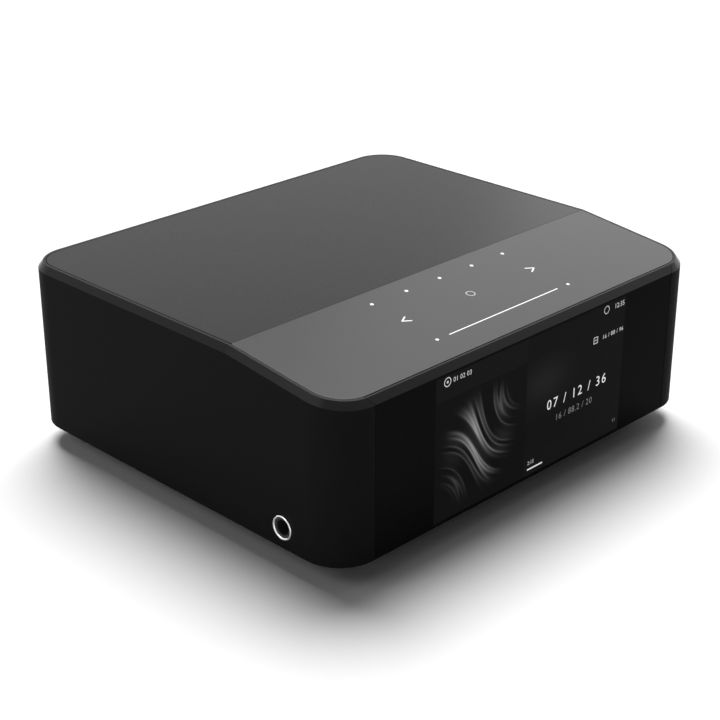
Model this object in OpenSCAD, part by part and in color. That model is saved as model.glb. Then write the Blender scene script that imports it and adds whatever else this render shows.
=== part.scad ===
// Network music streamer: display front, sloping touch strip on top, socket bay at the rear.
// Millimetres. The origin lies on the table under the middle of the body; the front faces -Y.

/* [Body] */
// Width of the body across its side walls
body_w = 220; // [214:1:240]
// Depth of the body from the glass to the rear edge
body_d = 192; // [190:1:216]
// Height of the top above the table
body_h = 84; // [83:0.5:92]
// Height of the lower edge of the walls above the table
skirt_z = 9.2; // [8.2:0.2:10]
// Radius of the four upright corners
corner_r = 17.5; // [15:0.5:19]
// Level width of the chamfer around the rim
chamfer_w = 2.2; // [1.6:0.1:2.4]
// Height of the chamfer around the rim
chamfer_h = 2.8; // [1.8:0.1:3.2]
// Width of the flat land inside the chamfer
land_w = 1.2; // [1:0.1:1.6]

/* [Top] */
// Depth of the sloping strip from the front face to the bend
slope_d = 61.2; // [60:0.2:64]
// Angle at which the strip slopes down to the front
slope_deg = 6.7; // [5.5:0.1:7]
// Thickness of the rear top panel and of the touch glass
panel_t = 1.8; // [1.4:0.1:2]
// Gap between the land and the edge of the panels
panel_gap = 0.5; // [0.3:0.1:0.8]
// Seam between the two panels at the bend
bend_seam = 0.3; // [0.2:0.1:0.6]
// Thickness of the carrier that holds both panels
carrier_t = 1.5; // [1.2:0.1:1.6]
// Spacing of the five preset lights
preset_pitch = 20; // [16:0.5:21]
// Length of the volume light line
slider_len = 66.4; // [50:0.2:72]

/* [Front] */
// Width of the front glass between its upright seams
glass_w = 183; // [170:0.5:184]
// Clearance of the front glass in its recess
glass_seam = 0.15; // [0.1:0.05:0.3]
// Thickness of the adhesive behind the front glass
tape_t = 0.3; // [0.2:0.05:0.5]
// Width of the display cell
lcd_w = 121; // [100:1:122]
// Thickness of the display cell
lcd_t = 1.6; // [1.2:0.1:1.8]
// Thickness of the display's backlight
backlight_t = 3; // [2.4:0.1:3.2]

/* [Base] */
// Thickness of the base plate
base_t = 2; // [1.8:0.1:2.4]
// Radius of the four feet
foot_r = 16; // [12:0.5:18]
// Distance of the feet from the sides, front and rear
foot_in = 28; // [26:0.5:32]
// Height of the posts between the base plate and the boards
standoff_h = 8; // [7.5:0.1:8.6]

/* [Headphone sockets] */
// Radius of the hole that takes the headphone plug
phone_r = 3.25; // [3.2:0.01:3.4]
// Outer radius of the bright ring around the hole
ring_r = 5.1; // [4.8:0.1:5.6]
// How far the ring stands out of the side wall
ring_proud = 0.3; // [0.1:0.1:0.6]
// Distance of the hole behind the front face
phone_back = 31; // [30:0.5:34]
// Height of the hole above the lower edge of the wall
phone_up = 9.1; // [9:0.1:9.8]

/* [Rear bay] */
// Depth of the bay from the rear edge to the socket panel
bay_d = 9; // [8.8:0.1:10]
// Thickness of the socket panel
rear_t = 2; // [1.5:0.1:2.4]
// Clearance of the sockets in the panel's cut-outs
cut_gap = 0.2; // [0.1:0.05:0.3]
// Radius of the hole of the small jacks
jack_r = 1.8; // [1.76:0.01:1.9]
// Outer radius of the phono sockets' sleeves
phono_r = 4.15; // [4.05:0.05:4.25]
// Inner radius of the balanced sockets' shells
xlr_r = 9.6; // [9.3:0.1:9.8]
// Depth of the output board's underside below the top
out_drop = 40; // [39.6:0.2:40.6]
// Running clearance of the shutter's pivots, on the radius
pivot_gap = 0.05; // [0.03:0.01:0.08]

/* [Hidden] */
$fn = 48;
hull_fn = 64;
over = 1;
tiny_gap = 0.05;
play = 0.2;

wall = chamfer_w + land_w;
panel_in = wall + panel_gap;
x_side = body_w / 2;
y_front = -body_d / 2;
y_rear = body_d / 2;
bend_y = y_front + slope_d;
slope_cos = cos(slope_deg);
function roof_z(y) = body_h - max(0, bend_y - y) * tan(slope_deg);

// Ledge inside the walls, on which the carrier lies
ledge_drop = panel_t + carrier_t;
ledge_h = 3;
ledge_w = 6;
ledge_low = ledge_drop + ledge_h;

// Front wall behind the glass, and the lip under the display
glass_t = wall - tape_t;
y_glass = y_front + glass_t;
y_seat = y_front + wall;
front_wall_t = 2;
y_inner = y_seat + front_wall_t;
lip_t = 1;
lip_d = 8.6;
y_lip = y_seat + lip_d;
z_lip = skirt_z + lip_t;
z_flare = roof_z(y_front) - chamfer_h;

// Display stack, from the glass inwards
z_lcd0 = z_lip + play;
z_lcd1 = roof_z(y_seat) - ledge_drop - 0.4;
y_lcd = y_glass + lcd_t;
y_light = y_lcd + backlight_t;
bracket_t = 1;
y_bracket = y_light + bracket_t;
bracket_w = 136;
boss_x = 65;
boss_z = [z_lcd0 + 10, z_lcd1 - 10];
boss_r = 2.6;
small_r = 1;
driver_gap = 3;
driver_t = 1.4;
y_driver = y_bracket + driver_gap + driver_t;
driver_w = 80;
driver_z = [z_lcd0 + 10, z_lcd1 - 14];
driver_pegs = [[-34, driver_z[0] + 4], [34, driver_z[0] + 4], [-34, driver_z[1] - 4], [34, driver_z[1] - 4]];

// Base, feet and board levels
base_in = 0.6;
z_base = skirt_z + base_in;
z_deck = z_base + base_t;
pcb_t = 1.6;
z_board = z_deck + standoff_h;
z_pcb = z_board + pcb_t;
foot_xy = [x_side - foot_in, y_rear - foot_in];
foot_bore = 5;
foot_floor = 4;
foot_head_h = 2.4;
foot_head_r = 3.6;
foot_screw_r = 2;
post_r = 4;
post_h = 7;
post_x = x_side - wall - 3.5;
post_y = [y_front + 15, 0, y_rear - 24];
base_screw_r = 1.4;
base_head_r = 2.8;
base_head_h = 1.2;
vent_n = 16;
vent_pitch = 7;
vent_w = 3;
vent_l = 22;
vent_y = y_front + 60;

// Socket panel and boards
y_panel = y_rear - bay_d;
y_panel_in = y_panel - rear_t;
flange_l = 8;
flange_t = 1.5;
bay_in = 20;
bay_low = 1.2;
bay_top = 8;
bay_r = 4;
rear_screw_x = [for (i = [-1.5:1.5]) i * (2 * x_side - 2 * bay_in) / 3];
rear_screw_r = 1.2;
rear_head_r = 2.4;
rear_head_h = 1.6;
board_y1 = y_panel_in - 1;
main_d = 92;
power_d = 112;
power_w = 46;
board_space = 6;
main_y0 = board_y1 - main_d;
power_y0 = board_y1 - power_d;
board_in = wall + 4.6;
power_x = [-x_side + board_in, -x_side + board_in + power_w];
main_x = [power_x[1] + board_space, x_side - board_in];
z_out = body_h - out_drop;
z_out_top = z_out + pcb_t;
plate_x = (power_x[1] + main_x[0]) / 2;
plate_z = z_out_top - pcb_t / 2;
plate_seam = 0.3;
foot_end = 14;
out_d = 50;
out_y0 = board_y1 - out_d;
stand_r = 3;
stand_screw_r = 1.4;
stand_head_r = 2.8;
stand_head_h = 1.8;
rear_row = board_y1 - 24;
power_stands = [[power_x[0] + 6, power_y0 + 6], [power_x[1] - 6, power_y0 + 6],
                [power_x[0] + 6, rear_row], [power_x[1] - 6, rear_row]];
main_front = [[main_x[0] + 6, main_y0 + 6], [main_x[0] + 94, main_y0 + 6],
              [main_x[1] - 10, main_y0 + 6]];
main_rear = [[main_x[0] + 6, rear_row], [main_x[0] + 80, rear_row], [main_x[1] - 10, rear_row]];

// Carrier screws, on the level part of the ledge
carrier_screw_r = 1.2;
carrier_head_r = 2.4;
carrier_head_h = 0.9;
carrier_screw_l = 2.4;
carrier_in = wall + ledge_w / 2;
carrier_xy = [[x_side - carrier_in, -14], [x_side - carrier_in, 50], [x_side - 50, y_rear - carrier_in]];

// Touch strip: rows measured down the slope from the bend
preset_row = 9;
transport_row = 26.2;
slider_row = 44.8;
skip_x = 38.6;
slider_end_x = 40.4;
mask_w = 96;
mask_y = [-50, -5];
sensor_w = mask_w + 12;
sensor_y = [-50.5, -3];
sensor_t = 1.2;
z_mask_top = -panel_t * slope_cos;
z_mask_low = -ledge_drop * slope_cos;
z_sensor_low = z_mask_low - sensor_t;
sensor_screw_x = mask_w / 2 + 3;
sensor_screws = [for (s = [-1, 1], y = [-8, -46]) [s * sensor_screw_x, y]];
sensor_screw_r = 0.9;
sensor_head_r = 1.8;
led = [1.6, 0.8, 0.7];
dot_hole_r = 1.4;
mark_hole_r = 2.8;
slider_hole = 1.2;
through = 9;
led_spots = concat(
    [for (i = [-2:2]) [i * preset_pitch, -preset_row]],
    [for (x = [-skip_x, 0, skip_x]) [x, -transport_row]],
    [for (i = [-1:1]) [i * slider_len / 3, -slider_row]],
    [for (s = [-1, 1]) [s * slider_end_x, -slider_row]]);

// Headphone sockets
phone_y = y_front + phone_back;
phone_z = skirt_z + phone_up;
nose_t = 1.0;
ring_in_r = phone_r + nose_t;
ring_bevel = 0.3;
ring_edge = 0.2;
nose_in = 0.4;
phone_body = [30, 14, 12];
phone_face = x_side - wall - 0.1;
phone_deep = 28;
lug_t = 0.4;
z_phone_pcb = phone_z + phone_body[2] / 2 + lug_t;
cable_z = z_pcb + 8.6;
cable_t = 0.8;
cable_w = 4;
cable_x = 31;
header_w = 7;

// Sockets of the panel
inlet_x = -x_side + 34;
inlet_body = [22, 20, 15];
inlet_z = z_pcb + inlet_body[2] / 2;
inlet_lobe_r = 4.35;
inlet_lobe_x = 4.1;
inlet_deep = 13;
inlet_pin_x = 4.3;
inlet_pin_r = 1.2;
inlet_pin_l = 9.5;
proud = 0.5;

lan_body = [16, 18, 13.4];
lan_hole = [11.8, 13, 7];
lan_hole_z = z_pcb + 2.2;
lan_key = [[6.2, 1.8], [3.2, 1.5]];
lan_pins = 8;
lan_pitch = 1.02;
lan_pin = [0.45, 9, 0.3];

usb_body = [13.2, 14, 5.8];
usb_skin = 0.4;
usb_tongue = [11, 1.9];
usb_back = 4.5;
usb_c_body = [9, 9, 3.3];
usb_c_tongue = [6.6, 0.8];
usb_c_back = 2.5;
hdmi_body = [15, 12, 5.7];
hdmi_cut = 1.6;
hdmi_tongue = [12.6, 1.3];
hdmi_back = 3;

jack_body = [9, 14, 10];
jack_nose_r = 3.6;
jack_nose_l = 1;
jack_deep = 13;
jack_z = z_pcb + jack_body[2] / 2;

opto_body = [14, 17, 12.8];
opto_room = [9.6, 10.2, 9.8];
opto_lip = 2.9;
opto_mouth = [8.8, 8.6];
opto_z = z_pcb + opto_body[2] / 2;
pivot_drop = 1.7;
pivot_r = 0.8;
pivot_l = 1.2;
flap_t = 0.8;
flap_gap = 0.15;
pivot_y = y_panel + proud - opto_lip - flap_gap - pivot_r;
pivot_z = opto_z + opto_room[2] / 2 - pivot_drop;
flap_w = opto_room[0] - 2 * play;
flap_l = opto_room[2] - pivot_drop - 0.3;
flap_slot = 3;
wire_r = 0.18;
coil_r = pivot_r + 0.12 + wire_r;
coil_n = 3;
coil_pitch = 0.55;

phono_z = z_out_top + 7.5;
phono_block = [14, 10, 14.5];
phono_collar_r = 5.8;
phono_collar_h = 0.8;
phono_out = 8.2;
phono_skin = 0.75;
phono_pin_r = 1.65;
phono_in = 6;

xlr_z = z_out_top + 13.6;
xlr_skin = 2.2;
xlr_flange = 27;
xlr_flange_t = 1.5;
xlr_deep = 14;
xlr_plug_t = 4;
xlr_pin_r = 1.2;
xlr_spots = [[-3.8, 1.6], [3.8, 1.6], [0, -3.9]];
xlr_foot = 14;
xlr_screw = 10.6;

// Socket places: each row is spread evenly between the end of the main board and the end of the bay
function first(list, n) = n <= 0 ? 0 : list[n - 1] + first(list, n - 1);
function spread(widths, x0, x1) = let (n = len(widths), gap = (x1 - x0 - first(widths, n)) / (n - 1))
    [for (i = [0:n - 1]) x0 + first(widths, i) + i * gap + widths[i] / 2];
row_end = 1;
lower_x = spread([lan_body[0], usb_body[0], usb_c_body[0], hdmi_body[0], opto_body[0], jack_body[0],
    jack_body[0], jack_body[0]], main_x[0] + 4 * row_end, x_side - bay_in - row_end);
upper_x = spread([for (i = [0:5]) i < 4 ? phono_block[0] : xlr_flange], main_x[0] + row_end,
    x_side - bay_in - row_end);
lan_x = lower_x[0];
usb_x = lower_x[1];
usb_c_x = lower_x[2];
hdmi_x = lower_x[3];
opto_x = lower_x[4];
jack_x = [lower_x[5], lower_x[6], lower_x[7]];
phono_x = [for (i = [0:3]) upper_x[i]];
xlr_x = [upper_x[4], upper_x[5]];
xlr_screw_spots = [for (x = xlr_x, s = [-1, 1]) [x + s * xlr_screw, xlr_z + s * xlr_screw]];
xlr_screw_r = 1.3;
xlr_head_r = 2.2;
xlr_head_h = 1;

// Inner parts
core_at = [power_x[0] + 18, main_y0 + 8];
core_size = [28, 24, 22];
core_yoke = 4;
big_cap = [8, 26];
big_cap_at = [power_x[0] + 12, core_at[1] + 26];
cap = [4.5, 20];
cap_spots = [for (i = [-1:1]) [power_x[1] - 7, core_at[1] + 4 + i * 12]];
choke_at = [power_x[1] - 16, core_at[1] + 36];
choke_r = [3, 11];
choke_h = 9;
choke_edge = 1;
link_x = main_x[0] + 50;
link = [32, 6];
chip = 16;
chip_t = 1.8;
sink = [34, 34, 14];
sink_fins = 9;
sink_at = [main_x[0] + 58, main_y0 + 24];
fin_t = 2;
sink_floor = 3;
radio = [30, 20, 3.6];
radio_at = [main_x[1] - 36, main_y0 + 30];
aerial = [36, 8, 0.8];
aerial_x = x_side - 38;
lead_r = 0.7;
lead_x = [radio_at[0] - 6, radio_at[0] + 6];
ribbon_t = 0.3;
ribbon_w = 20;
touch_ribbon_x = 19;
touch_ribbon_w = 12;
plug_h = 2;

c_shell = "#2a2b2d";
c_panel = "#55575a";
c_glass = "#17181a";
c_touch = "#6f7174";
c_plastic = "#1c1c1e";
c_steel = "#b4b7ba";
c_zinc = "#8d9194";
c_gold = "#c9a550";
c_board = "#1d4a34";
c_rubber = "#101011";
c_copper = "#a9663c";
c_ivory = "#d8d4c8";

// Shared shapes

module plan(inset) {
    w = body_w - 2 * inset;
    d = body_d - 2 * inset;
    r = corner_r - inset;
    square([w - 2 * r, d], center = true);
    square([w, d - 2 * r], center = true);
    for (sx = [-1, 1], sy = [-1, 1])
        translate([sx * (w / 2 - r), sy * (d / 2 - r)]) circle(r);
}

module prism(inset) {
    translate([0, 0, skirt_z]) linear_extrude(body_h + over - skirt_z) plan(inset);
}

module deep_prism(inset) {
    linear_extrude(body_h + over) plan(inset);
}

module along_x(profile) {
    rotate([90, 0, 90]) linear_extrude(body_w + 2 * over, center = true) polygon(profile);
}

module along_y(y0, y1) {
    translate([0, y1, 0]) rotate([90, 0, 0]) linear_extrude(y1 - y0) children();
}

module box(x, y, z) {
    translate([x[0], y[0], z[0]]) cube([x[1] - x[0], y[1] - y[0], z[1] - z[0]]);
}

module rod_y(x, z, y, r) {
    translate([x, y[0], z]) rotate([-90, 0, 0]) cylinder(r = r, h = y[1] - y[0]);
}

module rod_x(y, z, x, r) {
    translate([x[0], y, z]) rotate([0, 90, 0]) cylinder(r = r, h = x[1] - x[0]);
}

module rod_z(xy, z, r) {
    translate([xy[0], xy[1], z[0]]) cylinder(r = r, h = z[1] - z[0]);
}

module both_sides() {
    children();
    mirror([1, 0, 0]) children();
}

module on_slope() {
    translate([0, bend_y, body_h]) rotate([slope_deg, 0, 0]) children();
}

// Solid under the bent roof, lowered by a drop
module under_roof(drop) {
    along_x([[y_front - over, 0], [y_rear + over, 0], [y_rear + over, body_h - drop],
        [bend_y, body_h - drop], [y_front - over, roof_z(y_front - over) - drop]]);
}

// Sheet that follows the bent roof between two drops, from one depth to the rear
module roof_sheet(y0, drop0, drop1) {
    along_x([[y0, roof_z(y0) - drop1], [bend_y, body_h - drop1], [y_rear + over, body_h - drop1],
        [y_rear + over, body_h - drop0], [bend_y, body_h - drop0], [y0, roof_z(y0) - drop0]]);
}

// Whole outer form: an upright prism drawn in to a smaller bent roof by the chamfer
module outer_form() {
    hull($fn = hull_fn) {
        intersection() {
            prism(0, $fn = hull_fn);
            under_roof(chamfer_h);
        }
        intersection() {
            prism(chamfer_w, $fn = hull_fn);
            under_roof(0);
        }
    }
}

// Outline of the front glass, whose upper corners flare into the rim
module glass_outline(gap) {
    half = glass_w / 2 - gap;
    translate([-half, skirt_z - over]) square([2 * half, z_flare - skirt_z + over]);
    difference() {
        translate([-glass_w / 2 - chamfer_h, z_flare]) square([glass_w + 2 * chamfer_h, 4 * chamfer_h]);
        for (s = [-1, 1]) translate([s * (glass_w / 2 + chamfer_h), z_flare]) circle(chamfer_h + gap);
    }
}

module rounded_hole(x, z, r) {
    translate([x[0] + r, z[0]]) square([x[1] - x[0] - 2 * r, z[1] - z[0]]);
    translate([x[0], z[0] + r]) square([x[1] - x[0], z[1] - z[0] - 2 * r]);
    for (px = [x[0] + r, x[1] - r], pz = [z[0] + r, z[1] - r]) translate([px, pz]) circle(r);
}

// Outer shell

module lower_room() {
    intersection() {
        deep_prism(wall);
        along_x([[y_inner, z_lip], [y_inner, roof_z(y_inner) - ledge_low], [bend_y, body_h - ledge_low],
            [y_rear, body_h - ledge_low], [y_rear, 0], [y_lip, 0], [y_lip, z_lip]]);
    }
}

module ledge_hole() {
    intersection() {
        deep_prism(wall + ledge_w);
        roof_sheet(y_inner, ledge_drop - over, ledge_low + over);
    }
}

module panel_pocket() {
    intersection() {
        deep_prism(wall);
        roof_sheet(y_front, -3 * over, ledge_drop);
    }
}

module housing() color(c_shell) difference() {
    union() {
        difference() {
            outer_form();
            lower_room();
            ledge_hole();
            panel_pocket();
        }
        both_sides() {
            for (y = post_y) rod_z([post_x, y], [z_deck, z_deck + post_h], post_r);
            for (z = boss_z) rod_y(boss_x, z, [y_inner - over, y_light], boss_r);
        }
    }
    along_y(y_front - over, y_seat) glass_outline(0);
    box([-lcd_w / 2 - play, lcd_w / 2 + play], [y_seat - over, y_inner + over], [z_lip, body_h]);
    box([-bracket_w / 2 - play, bracket_w / 2 + play], [y_light, y_light + 2 * ledge_w],
        [roof_z(y_front) - 2 * ledge_low, body_h]);
    box([-boss_x + boss_r + play, boss_x - boss_r - play], [y_inner, y_light + over],
        [roof_z(y_front) - 2 * ledge_low, body_h]);
    along_y(y_rear - wall - over, y_rear + over)
        rounded_hole([-x_side + bay_in, x_side - bay_in], [z_deck + bay_low, body_h - bay_top], bay_r);
    both_sides() {
        rod_x(phone_y, phone_z, [x_side - wall - over, x_side + over], ring_r + tiny_gap);
        for (y = post_y) rod_z([post_x, y], [z_deck - over, z_deck + post_h - over], base_screw_r + tiny_gap);
        for (z = boss_z) rod_y(boss_x, z, [y_inner - over, y_light + over], small_r + tiny_gap);
        for (p = carrier_xy)
            rod_z(p, [body_h - ledge_low - over, body_h - ledge_drop + over], carrier_screw_r + tiny_gap);
    }
}

module top_panel() color(c_panel) intersection() {
    deep_prism(panel_in);
    along_x([[bend_y + bend_seam / 2, body_h - panel_t], [y_rear, body_h - panel_t], [y_rear, body_h],
        [bend_y + bend_seam / 2, body_h]]);
}

module touch_panel() color(c_touch) intersection() {
    deep_prism(panel_in);
    along_x([[y_front, roof_z(y_front) - panel_t],
        [bend_y - bend_seam / 2, roof_z(bend_y - bend_seam / 2) - panel_t],
        [bend_y - bend_seam / 2, roof_z(bend_y - bend_seam / 2)], [y_front, roof_z(y_front)]]);
}

module top_carrier() color(c_plastic) difference() {
    intersection() {
        deep_prism(wall + play);
        roof_sheet(y_front, panel_t, ledge_drop);
    }
    on_slope() box([-mask_w / 2 - play, mask_w / 2 + play], [mask_y[0] - play, mask_y[1] + play],
        [-through, through]);
    on_slope() for (p = sensor_screws) rod_z(p, [-through, through], sensor_screw_r + tiny_gap);
    both_sides() for (p = carrier_xy) {
        rod_z(p, [body_h - 2 * ledge_low, body_h], carrier_screw_r + tiny_gap);
        rod_z(p, [body_h - panel_t - carrier_head_h, body_h], carrier_head_r + tiny_gap);
    }
}

module carrier_screws() both_sides() for (p = carrier_xy) {
    z = body_h - panel_t;
    rod_z(p, [z - carrier_head_h, z], carrier_head_r);
    rod_z(p, [z - carrier_head_h - carrier_screw_l, z - carrier_head_h / 2], carrier_screw_r);
}

module light_mask() color(c_rubber) on_slope() difference() {
    box([-mask_w / 2, mask_w / 2], mask_y, [z_mask_low, z_mask_top]);
    for (p = led_spots) rod_z(p, [-through, through], p[1] == -transport_row ? mark_hole_r : dot_hole_r);
    box([-slider_len / 2, slider_len / 2], [-slider_row - slider_hole / 2, -slider_row + slider_hole / 2],
        [-through, through]);
}

module touch_leds() color(c_ivory) on_slope() for (p = led_spots)
    translate([p[0] - led[0] / 2, p[1] - led[1] / 2, z_mask_low]) cube(led);

module touch_board() color(c_board) on_slope() difference() {
    box([-sensor_w / 2, sensor_w / 2], sensor_y, [z_sensor_low, z_mask_low]);
    for (p = sensor_screws) rod_z(p, [-through, through], sensor_screw_r + tiny_gap);
}

module touch_screws() on_slope() for (p = sensor_screws) {
    rod_z(p, [z_sensor_low - 1, z_sensor_low], sensor_head_r);
    rod_z(p, [z_sensor_low - 0.5, z_mask_top - 0.1], sensor_screw_r);
}

// Display

module front_window() color(c_glass) intersection() {
    outer_form();
    along_y(y_front - over, y_glass) glass_outline(glass_seam);
}

module window_tape() color(c_rubber) along_y(y_glass, y_seat) difference() {
    translate([-glass_w / 2 + 1, z_lip - 0.6])
        square([glass_w - 2, roof_z(y_seat) - ledge_drop - z_lip]);
    translate([-lcd_w / 2 - play, z_lip]) square([lcd_w + 2 * play, body_h]);
}

module lcd_panel() color(c_glass)
    box([-lcd_w / 2, lcd_w / 2], [y_glass, y_lcd], [z_lcd0, z_lcd1]);

module lcd_backlight() color(c_ivory)
    box([-lcd_w / 2 + 0.5, lcd_w / 2 - 0.5], [y_lcd, y_light], [z_lcd0 + 0.3, z_lcd1 - 0.3]);

module display_bracket() color(c_steel) {
    along_y(y_light, y_bracket) difference() {
        translate([-bracket_w / 2, z_lcd0]) square([bracket_w, z_lcd1 - z_lcd0]);
        for (s = [-1, 1], z = boss_z) translate([s * boss_x, z]) circle(small_r + tiny_gap);
        translate([-driver_w / 2 + 14, driver_z[0] + 10])
            square([driver_w - 28, driver_z[1] - driver_z[0] - 20]);
    }
    for (p = driver_pegs) rod_y(p[0], p[1], [y_bracket - bracket_t / 2, y_bracket + driver_gap], 2);
}

module bracket_screws() both_sides() for (z = boss_z) {
    rod_y(boss_x, z, [y_bracket, y_bracket + 1.2], 2.2);
    rod_y(boss_x, z, [y_light - 1.8, y_bracket + 0.6], small_r);
}

module display_board() color(c_board) {
    box([-driver_w / 2, driver_w / 2], [y_bracket + driver_gap, y_driver], driver_z);
    box([-ribbon_w / 2 - 2, ribbon_w / 2 + 2], [y_driver - driver_t / 2, y_driver + plug_h],
        [driver_z[0] + 2, driver_z[0] + 6]);
}

module display_ribbon() color(c_ivory) {
    y0 = y_driver + plug_h;
    z0 = driver_z[0] + 4;
    y1 = main_y0 + 2;
    z1 = z_pcb + plug_h / 2;
    path = [[y0, z0], [y0 + 12, z0 - 5], [y1 - 14, z0 - 5], [y1, z1]];
    rotate([90, 0, 90]) linear_extrude(ribbon_w, center = true)
        polygon(concat(path, [for (i = [3:-1:0]) path[i] + [0, ribbon_t]]));
}

module touch_ribbon() color(c_ivory) {
    top = roof_z(bend_y - 11) - ledge_drop - sensor_t - 0.4;
    y0 = bend_y - 12;
    y1 = main_y0 + 2;
    z1 = z_pcb + plug_h / 2;
    knee = z_pcb + 12;
    translate([touch_ribbon_x, 0, 0]) rotate([90, 0, 90]) linear_extrude(touch_ribbon_w, center = true)
        polygon([[y0, top], [y0, knee], [y1 - 10, z1], [y1, z1], [y1, z1 + ribbon_t],
            [y1 - 10 + ribbon_t, z1 + ribbon_t], [y0 + ribbon_t, knee + ribbon_t], [y0 + ribbon_t, top]]);
}

module inner_screws() color(c_zinc) {
    carrier_screws();
    touch_screws();
    bracket_screws();
}

// Base and feet

module base_plate() color(c_panel) difference() {
    intersection() {
        deep_prism(wall + play);
        box([-x_side, x_side], [y_lip + play, y_rear], [z_base, z_deck]);
    }
    for (i = [0:vent_n - 1])
        translate([(i - (vent_n - 1) / 2) * vent_pitch - vent_w / 2, vent_y - vent_l / 2, 0])
            cube([vent_w, vent_l, body_h]);
    both_sides() {
        for (y = post_y) {
            rod_z([post_x, y], [0, body_h], base_screw_r + tiny_gap);
            rod_z([post_x, y], [0, z_base + base_head_h], base_head_r + tiny_gap);
        }
        for (s = [-1, 1]) rod_z([foot_xy[0], s * foot_xy[1]], [0, body_h], foot_screw_r + tiny_gap);
    }
    for (x = rear_screw_x) rod_z([x, y_panel_in - flange_l / 2], [0, body_h], rear_screw_r + tiny_gap);
}

module base_screws() color(c_zinc) both_sides() for (y = post_y) {
    rod_z([post_x, y], [z_base, z_base + base_head_h], base_head_r);
    rod_z([post_x, y], [z_base + base_head_h / 2, z_deck + post_h - 2 * over], base_screw_r);
}

module feet() color(c_rubber) both_sides() for (s = [-1, 1])
    translate([foot_xy[0], s * foot_xy[1], 0]) rotate_extrude() polygon([
        [foot_bore, 0], [foot_r - 1, 0], [foot_r, 1], [foot_r, z_base], [foot_screw_r + tiny_gap, z_base],
        [foot_screw_r + tiny_gap, foot_floor], [foot_bore, foot_floor]]);

module foot_screws() color(c_zinc) both_sides() for (s = [-1, 1]) {
    at = [foot_xy[0], s * foot_xy[1]];
    rod_z(at, [foot_floor - foot_head_h, foot_floor], foot_head_r);
    rod_z(at, [foot_floor - foot_head_h / 2, z_deck], foot_screw_r);
}

// Rear panel and its sockets

module rear_plate(x, z) {
    intersection() {
        deep_prism(wall + play);
        box(x, [y_panel_in, y_panel], z);
    }
}

// Plate that is turned in at its foot and screwed to the base plate
module footed_plate(x, z1) {
    difference() {
        union() {
            rear_plate(x, [z_deck, z1]);
            box([max(x[0], -x_side + foot_end), min(x[1], x_side - foot_end)],
                [y_panel_in - flange_l, y_panel_in + rear_t / 2], [z_deck, z_deck + flange_t]);
        }
        for (x = rear_screw_x) rod_z([x, y_panel_in - flange_l / 2], [0, body_h], rear_screw_r + tiny_gap);
    }
}

module mains_plate() color(c_shell) difference() {
    footed_plate([-x_side, plate_x - plate_seam / 2], body_h - ledge_low);
    along_y(y_panel_in - over, y_panel + over) socket_cut(inlet_x, z_pcb, inlet_body);
}

module digital_plate() color(c_shell) difference() {
    footed_plate([plate_x + plate_seam / 2, x_side], plate_z - plate_seam / 2);
    along_y(y_panel_in - over, y_panel + over) {
        socket_cut(lan_x, z_pcb, lan_body);
        socket_cut(usb_x, z_pcb, usb_body);
        socket_cut(usb_c_x, z_pcb, usb_c_body);
        socket_cut(hdmi_x, z_pcb, hdmi_body);
        socket_cut(opto_x, z_pcb, opto_body);
        for (x = jack_x) translate([x, jack_z]) circle(jack_nose_r + cut_gap);
    }
}

module output_plate() color(c_shell) difference() {
    rear_plate([plate_x + plate_seam / 2, x_side], [plate_z + plate_seam / 2, body_h - ledge_low]);
    along_y(y_panel_in - over, y_panel + over) {
        for (x = phono_x) translate([x, phono_z]) circle(phono_collar_r + cut_gap);
        for (x = xlr_x) translate([x, xlr_z]) circle(xlr_r + xlr_skin + cut_gap);
        for (p = xlr_screw_spots) translate(p) circle(xlr_screw_r + tiny_gap);
    }
}

module socket_cut(x, z, size) {
    translate([x - size[0] / 2 - cut_gap, z - cut_gap])
        square([size[0] + 2 * cut_gap, size[2] + 2 * cut_gap]);
}

module rear_screws() color(c_zinc) {
    for (x = rear_screw_x) {
        at = [x, y_panel_in - flange_l / 2];
        rod_z(at, [z_deck + flange_t, z_deck + flange_t + rear_head_h], rear_head_r);
        rod_z(at, [z_base + 0.2, z_deck + flange_t + rear_head_h / 2], rear_screw_r);
    }
    for (p = xlr_screw_spots) {
        rod_y(p[0], p[1], [y_panel + xlr_flange_t, y_panel + xlr_flange_t + xlr_head_h], xlr_head_r);
        rod_y(p[0], p[1], [y_panel_in - 1, y_panel + xlr_flange_t + xlr_head_h / 2], xlr_screw_r);
    }
}

module socket_block(x, size) {
    box([x - size[0] / 2, x + size[0] / 2], [y_panel + proud - size[1], y_panel + proud],
        [z_pcb, z_pcb + size[2]]);
}

module mains_inlet() color(c_plastic) difference() {
    socket_block(inlet_x, inlet_body);
    along_y(y_panel + proud - inlet_deep, y_panel + over) translate([inlet_x, inlet_z]) {
        for (s = [-1, 1]) translate([s * inlet_lobe_x, 0]) circle(inlet_lobe_r);
        square([2 * inlet_lobe_x, 1.6 * inlet_lobe_r], center = true);
    }
    for (s = [-1, 1]) rod_y(inlet_x + s * inlet_pin_x, inlet_z, [0, y_panel], inlet_pin_r + tiny_gap);
}

module mains_pins() color(c_zinc) for (s = [-1, 1])
    rod_y(inlet_x + s * inlet_pin_x, inlet_z,
        [y_panel - inlet_body[1] - 1, y_panel + proud - inlet_deep + inlet_pin_l], inlet_pin_r);

module network_socket() color(c_steel) difference() {
    socket_block(lan_x, lan_body);
    along_y(y_panel + proud - lan_hole[1], y_panel + over) translate([lan_x, lan_hole_z]) {
        translate([-lan_hole[0] / 2, 0]) square([lan_hole[0], lan_hole[2]]);
        translate([-lan_key[0][0] / 2, 0]) square([lan_key[0][0], lan_hole[2] + lan_key[0][1]]);
        translate([-lan_key[1][0] / 2, 0])
            square([lan_key[1][0], lan_hole[2] + lan_key[0][1] + lan_key[1][1]]);
    }
}

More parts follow.
